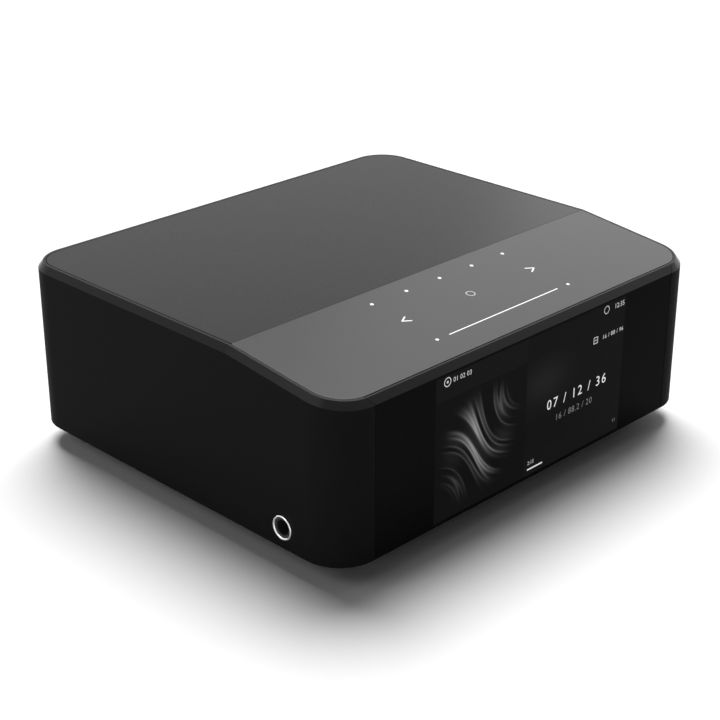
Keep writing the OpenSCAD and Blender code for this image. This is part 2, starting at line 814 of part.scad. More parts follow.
module network_contacts() color(c_gold) for (i = [0:lan_pins - 1])
    translate([lan_x + (i - (lan_pins - 1) / 2) * lan_pitch - lan_pin[0] / 2,
        y_panel + proud - lan_hole[1], lan_hole_z]) cube(lan_pin);

module stadium(w, h) {
    square([w - h, h], center = true);
    for (s = [-1, 1]) translate([s * (w - h) / 2, 0]) circle(h / 2);
}

module hdmi_outline(inset) {
    w = hdmi_body[0] / 2 - inset;
    h = hdmi_body[2] - inset;
    polygon([[-w + hdmi_cut, inset], [w - hdmi_cut, inset], [w, inset + hdmi_cut], [w, h], [-w, h],
        [-w, inset + hdmi_cut]]);
}

module port_shells() color(c_steel) {
    difference() {
        socket_block(usb_x, usb_body);
        box([usb_x - usb_body[0] / 2 + usb_skin, usb_x + usb_body[0] / 2 - usb_skin],
            [y_panel - usb_body[1] - over, y_panel + over],
            [z_pcb + usb_skin, z_pcb + usb_body[2] - usb_skin]);
    }
    along_y(y_panel + proud - usb_c_body[1], y_panel + proud)
        translate([usb_c_x, z_pcb + usb_c_body[2] / 2]) difference() {
            stadium(usb_c_body[0], usb_c_body[2]);
            stadium(usb_c_body[0] - 2 * usb_skin, usb_c_body[2] - 2 * usb_skin);
        }
    along_y(y_panel + proud - hdmi_body[1], y_panel + proud) translate([hdmi_x, z_pcb]) difference() {
        hdmi_outline(0);
        hdmi_outline(usb_skin);
    }
}

module port_tongues() color(c_plastic) {
    w = usb_body[0] / 2 - usb_skin - tiny_gap;
    box([usb_x - w, usb_x + w], [y_panel + proud - usb_body[1], y_panel + proud - usb_body[1] + usb_back],
        [z_pcb + usb_skin, z_pcb + usb_body[2] - usb_skin - tiny_gap]);
    box([usb_x - usb_tongue[0] / 2, usb_x + usb_tongue[0] / 2],
        [y_panel + proud - usb_body[1] + usb_back / 2, y_panel - 1],
        [z_pcb + usb_body[2] - usb_skin - 0.3 - usb_tongue[1], z_pcb + usb_body[2] - usb_skin - 0.3]);
    translate([0, 0, z_pcb + usb_c_body[2] / 2]) {
        along_y(y_panel + proud - usb_c_body[1], y_panel + proud - usb_c_body[1] + usb_c_back)
            translate([usb_c_x, 0]) stadium(usb_c_body[0] - 2 * usb_skin - 2 * tiny_gap,
                usb_c_body[2] - 2 * usb_skin - 2 * tiny_gap);
        box([usb_c_x - usb_c_tongue[0] / 2, usb_c_x + usb_c_tongue[0] / 2],
            [y_panel + proud - usb_c_body[1] + usb_c_back / 2, y_panel - 0.4],
            [-usb_c_tongue[1] / 2, usb_c_tongue[1] / 2]);
    }
    y0 = y_panel + proud - hdmi_body[1];
    along_y(y0, y0 + hdmi_back) translate([hdmi_x, z_pcb]) hdmi_outline(usb_skin + tiny_gap);
    box([hdmi_x - hdmi_tongue[0] / 2, hdmi_x + hdmi_tongue[0] / 2], [y0 + hdmi_back / 2, y_panel - 1],
        [z_pcb + hdmi_body[2] / 2, z_pcb + hdmi_body[2] / 2 + hdmi_tongue[1]]);
}

// Optical output with its hinged shutter

module optical_socket() color(c_plastic) difference() {
    socket_block(opto_x, opto_body);
    box([opto_x - opto_room[0] / 2, opto_x + opto_room[0] / 2],
        [y_panel + proud - opto_lip - opto_room[1], y_panel + proud - opto_lip],
        [opto_z - opto_room[2] / 2, opto_z + opto_room[2] / 2]);
    box([opto_x - opto_mouth[0] / 2, opto_x + opto_mouth[0] / 2], [pivot_y, y_panel + over],
        [opto_z - opto_mouth[1] / 2, opto_z + opto_mouth[1] / 2]);
    rod_x(pivot_y, pivot_z, [opto_x - opto_room[0] / 2 - pivot_l, opto_x + opto_room[0] / 2 + pivot_l],
        pivot_r + pivot_gap);
}

module optical_shutter() color(c_rubber) difference() {
    union() {
        rod_x(pivot_y, pivot_z, [opto_x - flap_w / 2 - pivot_l, opto_x + flap_w / 2 + pivot_l], pivot_r);
        box([opto_x - flap_w / 2, opto_x + flap_w / 2], [pivot_y + pivot_r - flap_t, pivot_y + pivot_r],
            [pivot_z - flap_l, pivot_z]);
    }
    difference() {
        box([opto_x - flap_slot / 2, opto_x + flap_slot / 2], [pivot_y - 2, pivot_y + 2],
            [pivot_z - 2, pivot_z + 2]);
        rod_x(pivot_y, pivot_z, [opto_x - flap_slot, opto_x + flap_slot], pivot_r);
    }
}

// Closed sweep of a round wire along a list of points that lie in rings across the path
module wire(path, r) {
    n = len(path);
    sides = 6;
    rings = [for (i = [0:n - 1])
        let (a = path[max(i - 1, 0)], b = path[min(i + 1, n - 1)], t = (b - a) / norm(b - a),
            u0 = cross(t, [1, 0, 0]), u = norm(u0) < 0.2 ? [0, 1, 0] : u0 / norm(u0), v = cross(t, u))
        for (k = [0:sides - 1]) path[i] + r * (cos(k * 360 / sides) * u + sin(k * 360 / sides) * v)];
    polyhedron(rings, concat(
        [[for (k = [0:sides - 1]) k]],
        [for (i = [0:n - 2], k = [0:sides - 1]) let (m = (k + 1) % sides)
            [i * sides + k, i * sides + sides + k, i * sides + sides + m, i * sides + m]],
        [[for (k = [sides - 1:-1:0]) (n - 1) * sides + k]]));
}

module shutter_spring() color(c_steel) translate([opto_x, pivot_y, pivot_z]) {
    steps = 14 * coil_n;
    half = coil_n * coil_pitch / 2;
    turn = [for (i = [0:steps]) let (a = 90 + 360 * coil_n * i / steps)
        [-half + 2 * half * i / steps, coil_r * cos(a), coil_r * sin(a)]];
    wire(concat([[-half, -5, coil_r]], turn, [[half, -3, coil_r - 0.6]]), wire_r);
}

module small_jacks() color(c_plastic) for (x = jack_x) difference() {
    union() {
        box([x - jack_body[0] / 2, x + jack_body[0] / 2], [y_panel_in - 0.1 - jack_body[1], y_panel_in - 0.1],
            [z_pcb, z_pcb + jack_body[2]]);
        rod_y(x, jack_z, [y_panel_in - over, y_panel + jack_nose_l], jack_nose_r);
    }
    rod_y(x, jack_z, [y_panel + jack_nose_l - jack_deep, y_panel + 2 * jack_nose_l], jack_r);
}

module phono_blocks() color(c_plastic) for (x = phono_x) difference() {
    union() {
        box([x - phono_block[0] / 2, x + phono_block[0] / 2],
            [y_panel_in - 0.1 - phono_block[1], y_panel_in - 0.1], [z_out_top, z_out_top + phono_block[2]]);
        rod_y(x, phono_z, [y_panel_in - over, y_panel + phono_collar_h], phono_collar_r);
    }
    rod_y(x, phono_z, [y_panel - phono_in, y_panel + 2 * over], phono_r + tiny_gap);
}

module phono_sleeves() color(c_gold) for (x = phono_x) difference() {
    rod_y(x, phono_z, [y_panel - phono_in, y_panel + phono_out], phono_r);
    rod_y(x, phono_z, [y_panel - phono_in - over, y_panel + phono_out + over], phono_r - phono_skin);
}

module phono_cores() color(c_ivory) for (x = phono_x) difference() {
    rod_y(x, phono_z, [y_panel - phono_in, y_panel + phono_out - 1], phono_r - phono_skin - tiny_gap);
    rod_y(x, phono_z, [y_panel - phono_in + over, y_panel + phono_out + over], phono_pin_r);
}

module xlr_shells() color(c_zinc) for (x = xlr_x) difference() {
    union() {
        rod_y(x, xlr_z, [y_panel - xlr_deep - xlr_plug_t, y_panel + xlr_flange_t], xlr_r + xlr_skin);
        box([x - xlr_flange / 2, x + xlr_flange / 2], [y_panel, y_panel + xlr_flange_t],
            [xlr_z - xlr_flange / 2, xlr_z + xlr_flange / 2]);
        box([x - xlr_foot / 2, x + xlr_foot / 2], [y_panel - xlr_deep, y_panel_in - 2 * over],
            [z_out_top, xlr_z - xlr_r]);
    }
    rod_y(x, xlr_z, [y_panel - xlr_deep - xlr_plug_t - over, y_panel + 3 * over], xlr_r);
    for (p = xlr_screw_spots) rod_y(p[0], p[1], [y_panel - over, y_panel + 3 * over], xlr_screw_r + tiny_gap);
}

module xlr_inserts() color(c_plastic) for (x = xlr_x) difference() {
    rod_y(x, xlr_z, [y_panel - xlr_deep - xlr_plug_t, y_panel - xlr_deep], xlr_r - tiny_gap);
    for (p = xlr_spots) rod_y(x + p[0], xlr_z + p[1], [0, y_panel], xlr_pin_r + tiny_gap);
}

module xlr_pins() color(c_gold) for (x = xlr_x, p = xlr_spots)
    rod_y(x + p[0], xlr_z + p[1], [y_panel - xlr_deep - xlr_plug_t - 2, y_panel - 2.5], xlr_pin_r);

// Headphone sockets on both sides

module headphone_jacks() color(c_plastic) both_sides() difference() {
    union() {
        box([phone_face - phone_body[0], phone_face],
            [phone_y - phone_body[1] / 2, phone_y + phone_body[1] / 2],
            [phone_z - phone_body[2] / 2, phone_z + phone_body[2] / 2]);
        rod_x(phone_y, phone_z, [phone_face - over, x_side - nose_in], ring_in_r - tiny_gap);
        for (i = [0:2]) translate([phone_face - 9 - 8 * i, phone_y - 1.2, z_phone_pcb - over])
            cube([2.4, 2.4, over]);
    }
    rod_x(phone_y, phone_z, [x_side - nose_in - phone_deep, x_side + over], phone_r);
}

module headphone_rings() color(c_steel) both_sides()
    translate([x_side - wall, phone_y, phone_z]) rotate([0, 90, 0]) rotate_extrude() polygon([
        [ring_in_r, 0], [ring_r, 0], [ring_r, wall + ring_proud - ring_edge],
        [ring_r - ring_edge, wall + ring_proud], [ring_in_r + ring_bevel, wall + ring_proud],
        [ring_in_r, wall + ring_proud - ring_bevel]]);

module headphone_boards() color(c_board) both_sides()
    box([phone_face - phone_body[0], phone_face - 3], [phone_y - 9, phone_y + 9],
        [z_phone_pcb, z_phone_pcb + pcb_t]);

// Boards and what they carry

module board(x, y, z, holes) {
    difference() {
        box(x, y, [z, z + pcb_t]);
        for (p = holes) rod_z(p, [z - over, z + pcb_t + over], stand_screw_r + tiny_gap);
    }
}

module power_board() color(c_board) board(power_x, [power_y0, board_y1], z_board, power_stands);

module main_board() color(c_board)
    board(main_x, [main_y0, board_y1], z_board, concat(main_front, main_rear));

module output_board() color(c_board) board(main_x, [out_y0, board_y1], z_out, main_rear);

module board_standoffs() color(c_gold) for (p = concat(power_stands, main_front, main_rear)) difference() {
    rod_z(p, [z_deck, z_board], stand_r);
    rod_z(p, [z_deck + 2, z_board + over], stand_screw_r + tiny_gap);
}

module output_standoffs() color(c_gold) for (p = main_rear) difference() {
    union() {
        rod_z(p, [z_pcb, z_out], stand_r);
        rod_z(p, [z_board - 4, z_pcb + over], stand_screw_r);
    }
    rod_z(p, [z_out - 8, z_out + over], stand_screw_r + tiny_gap);
}

module pan_screw(p, z) {
    rod_z(p, [z, z + stand_head_h], stand_head_r);
    rod_z(p, [z - pcb_t - 4, z + stand_head_h / 2], stand_screw_r);
}

module board_screws() color(c_zinc) {
    for (p = concat(power_stands, main_front)) pan_screw(p, z_pcb);
    for (p = main_rear) pan_screw(p, z_out_top);
}

module board_link() color(c_plastic)
    box([link_x - link[0] / 2, link_x + link[0] / 2], [out_y0 + 2, out_y0 + 2 + link[1]], [z_pcb, z_out]);

module transformer_core() color(c_rubber) translate([core_at[0], core_at[1], z_pcb]) difference() {
    translate([-core_size[0] / 2, -core_size[1] / 4, 0]) cube([core_size[0], core_size[1] / 2, core_size[2]]);
    for (s = [-1, 1]) translate([s * core_size[0] * 0.27 - core_size[0] * 0.12, -core_size[1], core_yoke])
        cube([core_size[0] * 0.24, 2 * core_size[1], core_size[2] - 2 * core_yoke]);
}

module transformer_winding() color(c_copper) {
    w = core_size[0] * 0.78 - 2 * tiny_gap;
    hole = core_size[0] * 0.3 + 2 * tiny_gap;
    translate([core_at[0], core_at[1], z_pcb + core_yoke + tiny_gap]) difference() {
        translate([-w / 2, -core_size[1] / 2, 0])
            cube([w, core_size[1], core_size[2] - 2 * core_yoke - 2 * tiny_gap]);
        translate([-hole / 2, -core_size[1] / 4 - tiny_gap, -over])
            cube([hole, core_size[1] / 2 + 2 * tiny_gap, core_size[2]]);
    }
}

module power_capacitors() color(c_plastic) {
    rod_z(big_cap_at, [z_pcb, z_pcb + big_cap[1]], big_cap[0]);
    for (p = cap_spots) rod_z(p, [z_pcb, z_pcb + cap[1]], cap[0]);
}

module power_choke() color(c_copper) translate([choke_at[0], choke_at[1], z_pcb]) rotate_extrude() {
    r = choke_r;
    e = choke_edge;
    polygon([[r[0] + e, 0], [r[1] - e, 0], [r[1], e], [r[1], choke_h - e], [r[1] - e, choke_h],
        [r[0] + e, choke_h], [r[0], choke_h - e], [r[0], e]]);
}

module processor() color(c_plastic) translate([sink_at[0] - chip / 2, sink_at[1] - chip / 2, z_pcb])
    cube([chip, chip, chip_t]);

module processor_heatsink() color(c_zinc) translate([sink_at[0], sink_at[1], z_pcb + chip_t]) {
    gap = (sink[0] - fin_t) / (sink_fins - 1);
    translate([-sink[0] / 2, -sink[1] / 2, 0]) cube([sink[0], sink[1], sink_floor]);
    for (i = [0:sink_fins - 1]) translate([-sink[0] / 2 + i * gap, -sink[1] / 2, sink_floor / 2])
        cube([fin_t, sink[1], sink[2] - sink_floor / 2]);
}

module radio_module() color(c_steel)
    translate([radio_at[0] - radio[0] / 2, radio_at[1] - radio[1] / 2, z_pcb]) cube(radio);

module aerials() color(c_copper) {
    z = body_h - ledge_drop;
    for (s = [-1, 1]) {
        x = s < 0 ? lead_x[0] : lead_x[1];
        y = radio_at[1] + s * 4;
        translate([s * aerial_x - aerial[0] / 2, y - aerial[1] / 2, z - aerial[2]]) cube(aerial);
        rod_x(y, z - aerial[2] - lead_r + 0.2,
            [min(s * aerial_x, x) - lead_r, max(s * aerial_x, x) + lead_r], lead_r);
        rod_z([x, y], [z_pcb + radio[2], z - aerial[2] - lead_r + 0.2], lead_r);
    }
}

module cable_headers() color(c_ivory) {
    both_sides() {
        box([cable_x - header_w / 2, cable_x + header_w / 2], [main_y0 + 1, main_y0 + 5], [z_pcb, cable_z]);
        box([phone_face - phone_body[0] + 1, phone_face - phone_body[0] + 5],
            [phone_y - header_w / 2, phone_y + header_w / 2], [z_phone_pcb + pcb_t, cable_z]);
    }
    for (x = [power_x[1] - 6, main_x[0] + 2])
        box([x, x + 4], [rear_row - 14, rear_row - 14 + header_w], [z_pcb, cable_z]);
    box([-ribbon_w / 2 - 2, ribbon_w / 2 + 2], [main_y0 + 2, main_y0 + 6], [z_pcb, z_pcb + plug_h]);
    box([touch_ribbon_x - touch_ribbon_w / 2 + 2, touch_ribbon_x + touch_ribbon_w / 2 - 1],
        [main_y0 + 2, main_y0 + 6], [z_pcb, z_pcb + plug_h]);
}

module flat_cables() color(c_rubber) {
    both_sides() {
        box([cable_x - cable_w / 2, phone_face - phone_body[0] + 5],
            [phone_y - cable_w / 2, phone_y + cable_w / 2], [cable_z, cable_z + cable_t]);
        box([cable_x - cable_w / 2, cable_x + cable_w / 2], [phone_y - cable_w / 2, main_y0 + 5],
            [cable_z, cable_z + cable_t]);
    }
    box([power_x[1] - 6, main_x[0] + 6], [rear_row - 13, rear_row - 8], [cable_z, cable_z + cable_t]);
}

housing();
top_panel();
touch_panel();
top_carrier();
light_mask();
touch_leds();
touch_board();
touch_ribbon();
front_window();
window_tape();
lcd_panel();
lcd_backlight();
display_bracket();
display_board();
display_ribbon();
inner_screws();
base_plate();
base_screws();
feet();
foot_screws();
mains_plate();
digital_plate();
output_plate();
rear_screws();
mains_inlet();
mains_pins();
power_board();
transformer_core();
transformer_winding();
power_capacitors();
power_choke();
main_board();
processor();
processor_heatsink();
radio_module();
aerials();
board_standoffs();
board_screws();
output_board();
output_standoffs();
board_link();
cable_headers();
flat_cables();
network_socket();
network_contacts();
port_shells();
port_tongues();
optical_socket();
optical_shutter();
shutter_spring();
small_jacks();
phono_blocks();
phono_sleeves();
phono_cores();
xlr_shells();
xlr_inserts();
xlr_pins();
headphone_jacks();
headphone_rings();
headphone_boards();
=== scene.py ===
# %% [markdown]
# # Dressing a network music streamer
#
# The object is a low black box that plays music from the network. A display lies behind its glass front,
# a touch strip slopes down from its top, and its sockets sit in a bay at the rear. The CAD frame already
# holds every part at its true size. This lesson loads that frame, rebuilds the outer skins as fine smooth
# surfaces, gives each part its finish, and sets up the light and the camera of a product picture.

import math

import bmesh
import bpy
import numpy as np
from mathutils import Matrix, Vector


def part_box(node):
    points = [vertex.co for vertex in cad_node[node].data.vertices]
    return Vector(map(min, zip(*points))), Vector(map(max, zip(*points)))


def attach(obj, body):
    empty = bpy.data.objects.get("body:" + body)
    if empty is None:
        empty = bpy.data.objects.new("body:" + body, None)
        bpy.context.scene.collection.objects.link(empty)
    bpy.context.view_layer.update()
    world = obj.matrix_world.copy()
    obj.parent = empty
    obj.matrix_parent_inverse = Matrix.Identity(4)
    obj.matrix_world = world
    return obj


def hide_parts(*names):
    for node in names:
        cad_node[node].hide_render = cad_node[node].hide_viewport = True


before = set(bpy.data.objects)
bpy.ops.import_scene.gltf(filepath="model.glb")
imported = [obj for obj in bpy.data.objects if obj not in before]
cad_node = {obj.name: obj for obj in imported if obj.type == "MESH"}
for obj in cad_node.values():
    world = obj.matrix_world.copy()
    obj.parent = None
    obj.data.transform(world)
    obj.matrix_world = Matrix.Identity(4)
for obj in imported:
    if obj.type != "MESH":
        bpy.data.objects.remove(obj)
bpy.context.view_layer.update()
print("CAD parts:", len(cad_node))

# %% [markdown]
# ## Sizes
#
# All lengths below are millimetres in the frame's own axes: X to the right, Y to the rear, Z up. A size
# that the box of a CAD part can tell is read from that box, so the skins stay on the frame if the frame
# is changed. Only what a box can't tell, such as the radius of a corner, is written out.

# %% Sizes of the body
MM = 0.001


def box_mm(name):
    """Lowest and highest corner of a CAD part, in millimetres."""
    low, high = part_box(name)
    return np.array(low) / MM, np.array(high) / MM


shell_low, shell_high = box_mm("housing")
half_w, half_d, top_z = shell_high
skirt_z = shell_low[2]
corner_r = 17.5
chamfer_w, chamfer_h = 2.2, 2.8
wall = 3.4
slope = math.tan(math.radians(6.7))
panel_front = box_mm("top_panel")[0][1]
touch_rear = box_mm("touch_panel")[1][1]
bend_y = (panel_front + touch_rear) / 2


def roof(y):
    """Height of the bent top: level behind the bend, then falling evenly towards the front."""
    return top_z - slope * np.maximum(bend_y - y, 0)


print("body", 2 * half_w, "by", 2 * half_d, "by", top_z, "mm, bend at", round(bend_y, 2))

# %% [markdown]
# ## From arrays to meshes
#
# A skin is a grid of points: a profile carried along a path, or a sheet in two directions. It could also
# be grown by extrusions, but a grid is one array, and its faces follow from row and column numbers alone.
# A patch is a pair: its points, and a list of arrays of corner numbers, one array for each kind of face.
# Patches are joined where their edges meet, and their faces are then turned outwards.

# %% Grids and patches


def grid_faces(rows, columns, close_rows=False, close_columns=False, keep=None):
    """Four-sided faces of a grid: each joins a point with those in the next row and the next column. A
    closed grid goes on from its last row or column to the first. keep masks the faces that stay."""
    row = np.arange(rows if close_rows else rows - 1)[:, None]
    column = np.arange(columns if close_columns else columns - 1)
    here, beyond = row * columns, (row + 1) % rows * columns
    beside = (column + 1) % columns
    faces = np.stack([here + column, here + beside, beyond + beside, beyond + column], -1)
    return faces.reshape(-1, 4) if keep is None else faces[keep]


def capped(rows, columns, closed=True):
    """Faces of a stack of lines: the grid between them, and a flat face over the first and the last."""
    ends = np.array([[0], [(rows - 1) * columns]]) + np.arange(columns)
    return [grid_faces(rows, columns, close_columns=closed), ends]


def joined(*patches):
    """One patch from several: the corner numbers of each are raised by the number of points before it."""
    points, faces, count = [], [], 0
    for patch_points, patch_faces in patches:
        flat = np.asarray(patch_points, float).reshape(-1, 3)
        points.append(flat)
        faces += [block + count for block in patch_faces]
        count += len(flat)
    return np.concatenate(points), faces


def mirrored(points, faces):
    """The patch and its mirror image across the middle, whose faces run the other way round."""
    return joined((points, faces), (points * [-1, 1, 1], [block[:, ::-1] for block in faces]))


print("a grid of 3 by 4 points has", len(grid_faces(3, 4)), "faces")

# %% A piece of the object
merge_distance = 1e-7
crisp_angle = math.radians(38)


def piece(name, patch, finish_of):
    """An object from a patch in millimetres. Points that coincide are joined, faces turned outwards, and
    edges kept crisp where they turn by more than the crisp angle. The piece rides on the body."""
    points, faces = patch
    mesh = bpy.data.meshes.new(name)
    corners = (points * MM).reshape(-1, 3).tolist()
    mesh.from_pydata(corners, [], [face for block in faces for face in block.tolist()])
    work = bmesh.new()
    work.from_mesh(mesh)
    bmesh.ops.remove_doubles(work, verts=work.verts, dist=merge_distance)
    bmesh.ops.recalc_face_normals(work, faces=work.faces)
    work.to_mesh(mesh)
    work.free()
    mesh.shade_smooth()
    mesh.set_sharp_from_angle(angle=crisp_angle)
    mesh.materials.append(finish_of)
    made = bpy.data.objects.new(name, mesh)
    bpy.context.scene.collection.objects.link(made)
    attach(made, "body")
    print(name, len(mesh.polygons), "faces")
    return made


print("edges stay crisp above", round(math.degrees(crisp_angle)), "degrees")

# %% [markdown]
# ## Rounded lines
#
# Pressed, cut and ground parts have no knife edges: their sections and outlines turn each corner on a
# small arc. A Bevel modifier could round the finished mesh. A line that is rounded before it is carried
# along a path gives even rows of faces instead, and each corner keeps its own radius.

# %% Rounded line


def rounded(corners, radii, steps=6):
    """A closed line through corner points, each replaced by the arc of its radius that touches both
    sides. The arc's centre lies on the line that halves the corner, at the radius over the sine of half
    its angle."""
    corners = np.asarray(corners, float)
    line = []
    for before, corner, after, r in zip(np.roll(corners, 1, 0), corners, np.roll(corners, -1, 0), radii):
        if r == 0:
            line.append(corner[None])
            continue
        u = (before - corner) / np.linalg.norm(before - corner)
        v = (after - corner) / np.linalg.norm(after - corner)
        half = math.acos(np.clip(u @ v, -1, 1)) / 2
        centre = corner + (u + v) / np.linalg.norm(u + v) * r / math.sin(half)
        start = corner + u * r / math.tan(half) - centre
        end = corner + v * r / math.tan(half) - centre
        turn = math.atan2(start[0] * end[1] - start[1] * end[0], start @ end)
        angle = math.atan2(start[1], start[0]) + turn * np.linspace(0, 1, steps)
        line.append(centre + r * np.stack([np.cos(angle), np.sin(angle)], -1))
    return np.concatenate(line)


def rectangle(x0, x1, y0, y1):
    """Corner points of a rectangle, anticlockwise."""
    return [(x0, y0), (x1, y0), (x1, y1), (x0, y1)]


print("a rounded square has", len(rounded(rectangle(0, 1, 0, 1), [0.1] * 4)), "points")

# %% [markdown]
# ## Finishes
#
# No real surface has one flat colour: a coat has grain, plated sheet has fine streaks, a board shows its
# weave. Painted pictures could show that, but they have to be unwrapped and stored. Here noise on Object
# coordinates does it: the pattern has a real size, needs no file and stays put on the part.

# %% Node helpers


def feed(tree, value, socket):
    """Gives a socket a number or a colour, or links another socket to it."""
    if isinstance(value, bpy.types.NodeSocket):
        tree.links.new(value, socket)
    else:
        socket.default_value = value


def add_node(tree, kind, **values):
    """Adds a node and feeds its inputs by name, with an underscore for a space."""
    node = tree.nodes.new("ShaderNode" + kind)
    for name, value in values.items():
        feed(tree, value, node.inputs[name.replace("_", " ")])
    return node


def mixed(tree, share, first, second, blend="MIX"):
    """Mixes two colours by a share from 0 to 1. The node repeats its input names for each kind of value,
    so those for colours are taken by number."""
    node = add_node(tree, "Mix")
    node.data_type = "RGBA"
    node.blend_type = blend
    for value, number in ((share, 0), (first, 6), (second, 7)):
        feed(tree, value, node.inputs[number])
    return node.outputs[2]


print("node names of Blender", bpy.app.version_string)

# %% Finish helper
noise_detail = 3
bump_depth = 0.1
smoothest = 0.02


def finish(
    name, tone, rough, metal=0.0, gloss=0.5, grain=1200, vary=0.08, rough_vary=0.05, bump=0.05,
    squeeze=(1, 1, 1),
):
    """One fine noise drives all that varies: tone and roughness run between two values, and a shallow
    bump takes its height from it. grain is the number of noise cells in a metre; squeeze packs them
    closer along an axis, so they look drawn out along the others. gloss is the specular level."""
    made = bpy.data.materials.new(name)
    made.use_nodes = True
    tree = made.node_tree
    shader = tree.nodes["Principled BSDF"].inputs
    place = add_node(tree, "TexCoord").outputs["Object"]
    cells = add_node(tree, "Mapping", Vector=place, Scale=squeeze).outputs["Vector"]
    noise = add_node(tree, "TexNoise", Vector=cells, Scale=grain, Detail=noise_detail).outputs["Fac"]
    dark, light = [[part * (1 + way * vary) for part in tone] + [1] for way in (-1, 1)]
    feed(tree, mixed(tree, noise, dark, light), shader["Base Color"])
    low, high = max(rough - rough_vary, smoothest), min(rough + rough_vary, 1)
    spread = add_node(tree, "MapRange", Value=noise, To_Min=low, To_Max=high)
    feed(tree, spread.outputs["Result"], shader["Roughness"])
    if bump:
        relief = add_node(tree, "Bump", Height=noise, Strength=bump, Distance=bump_depth / grain)
        feed(tree, relief.outputs["Normal"], shader["Normal"])
    feed(tree, metal, shader["Metallic"])
    feed(tree, gloss, shader["Specular IOR Level"])
    return made


print("bump of a grain of 2000:", bump_depth / 2000 / MM, "mm")

# %% [markdown]
# ## Coats and glass
#
# The housing wears a black powder coat that scatters almost all the light it returns. The chamfer of its
# rim is cut and smoother, so it shines a little more, and the narrow land inside the chamfer lies between
# the two in its sheen. The land's coat is also about twice as light in tone as the walls': that is
# painted light, as the land faces up to the lamp and the walls stay in shade. The top has a fine satin
# coat at the rear and etched glass in front, and the display hides behind smoked glass. Black paints
# differ more in their sheen than in their tone, so each gets its own gloss.

# %% Coats and glass


def grey(level):
    """A neutral tone, a little cool."""
    return level, level, level * 1.03


powder_coat = finish("powder_coat", grey(0.0095), 0.5, gloss=0.012, grain=2600, vary=0.12, bump=0.12)
# Painted light: the land's coat is about twice as light in tone as the walls' powder coat, since the land
# faces up to the lamp.
rim_coat_painted_light = finish("rim_coat_painted_light", grey(0.02), 0.3, gloss=0.07, grain=2600)
chamfer_cut = finish("chamfer_cut", grey(0.004), 0.2, gloss=0.17, grain=2600)
panel_coat = finish("panel_coat", grey(0.012), 0.26, gloss=0.115, grain=3200, vary=0.07, bump=0.03)
plate_coat = finish("plate_coat", grey(0.015), 0.42, gloss=0.1, grain=2600, vary=0.1, bump=0.08)
glass = {"rough_vary": 0.02, "bump": 0}
satin_glass = finish("satin_glass", grey(0.037), 0.24, gloss=0.25, grain=900, vary=0.02, **glass)
smoked_glass = finish("smoked_glass", grey(0.0071), 0.12, gloss=0.006, grain=300, vary=0.1, **glass)
print("coats and glass:", len(bpy.data.materials))

# %% [markdown]
# ## The housing
#
# The housing is a drawn box whose rim is chamfered all round, with a narrow flat land inside the chamfer.
# It could be a box with bevelled edges, cut by the sloping top. Seen in section it is one closed outline,
# though, so it is made as that section carried round the body: the chamfer then keeps its width past
# every corner. Half of the body is enough, since the other half is its mirror image.

# %% Path round the body
front_run = half_w - corner_r
side_run = 2 * (half_d - corner_r)
arc_run = corner_r * math.pi / 2
side_start = front_run + arc_run
rear_arc = side_start + side_run
rear_start = rear_arc + arc_run


def outline(s, inset):
    """Half of the body's outline from above, from the middle of the front round the left side to the
    middle of the rear: a straight, a quarter circle, a straight, a quarter circle and a straight. s is
    the distance along it, and the point is moved in by inset."""
    turned = np.clip(s - front_run, 0, arc_run) + np.clip(s - rear_arc, 0, arc_run)
    angle = -math.pi / 2 - turned / corner_r
    x = -np.clip(s, 0, front_run) + np.clip(s - rear_start, 0, front_run)
    y = -(half_d - corner_r) + np.clip(s - side_start, 0, side_run)
    return x + (corner_r - inset) * np.cos(angle), y + (corner_r - inset) * np.sin(angle)


print("half of the outline is", round(rear_start + front_run, 1), "mm long")

# %% [markdown]
# ## The bent rim and the seam of the glass
#
# Towards the front the rim sinks with the sloping top, while the foot of the walls stays level. The
# housing ends at two upright seams beside the front glass, and near the top these seams flare outwards on
# an arc, as the glass carries the chamfer on. Both bends are small shifts of the carried section, so no
# cut is needed.

# %% Bent rim
sink_from, sink_full = 60.0, 77.0
seam_x = 91.5
seam_reach = 8.0
flare_r = chamfer_h
flare_z = roof(-half_d) - chamfer_h


def rim_point(s, inset, z):
    """A point of the section at distance s along the path. Heights above sink_full follow the bent roof,
    those below sink_from stay level, and those between are shared out."""
    x, y = outline(s, inset)
    share = np.clip((z - sink_from) / (sink_full - sink_from), 0, 1)
    return np.stack([x, y, z - share * (top_z - roof(y))], -1)


def seam_shift(inset, z, gap):
    """How far the seam moves out along the path at each row: on a quarter circle above flare_z. Past the
    end of the straight front, the way across becomes a way along the corner's arc."""
    height = np.clip(rim_point(seam_x, inset, z)[..., 2] - flare_z, 0, flare_r + gap)
    across = seam_x + flare_r - np.sqrt((flare_r + gap) ** 2 - height**2)
    past = np.clip(across - front_run, 0, None)
    along = front_run + corner_r * np.arcsin(past / (corner_r - inset))
    return np.where(across > front_run, along, across) - seam_x


def carried(section, s, end_at_seam, gap=0.0):
    """The section carried to the places s of the path. Columns near the seam move with it, by a share
    that fades evenly over seam_reach."""
    inset, z = section.T[..., None]
    near = np.clip(1 - np.abs(s - end_at_seam) / seam_reach, 0, 1)
    return rim_point(s + near * seam_shift(inset, z, gap), inset, z)


print("the seam flares above", round(flare_z, 2), "mm")

# %% Section of the housing
ledge_top, ledge_h, ledge_w = top_z - 3.3, 3.0, 6.0
arc_steps = 6
section = rounded(
    [
        (wall, skirt_z),
        (0, skirt_z),
        (0, top_z - chamfer_h),
        (chamfer_w, top_z),
        (wall, top_z),
        (wall, ledge_top),
        (wall + ledge_w, ledge_top),
        (wall + ledge_w, ledge_top - ledge_h),
        (wall, ledge_top - ledge_h),
    ],
    [0.3, 0.6, 0.5, 0.25, 0.2, 0, 0, 0, 0],
    arc_steps,
)
inner_foot, foot, upper = np.split(section, [arc_steps, 2 * arc_steps])
print("points of the section:", len(section))

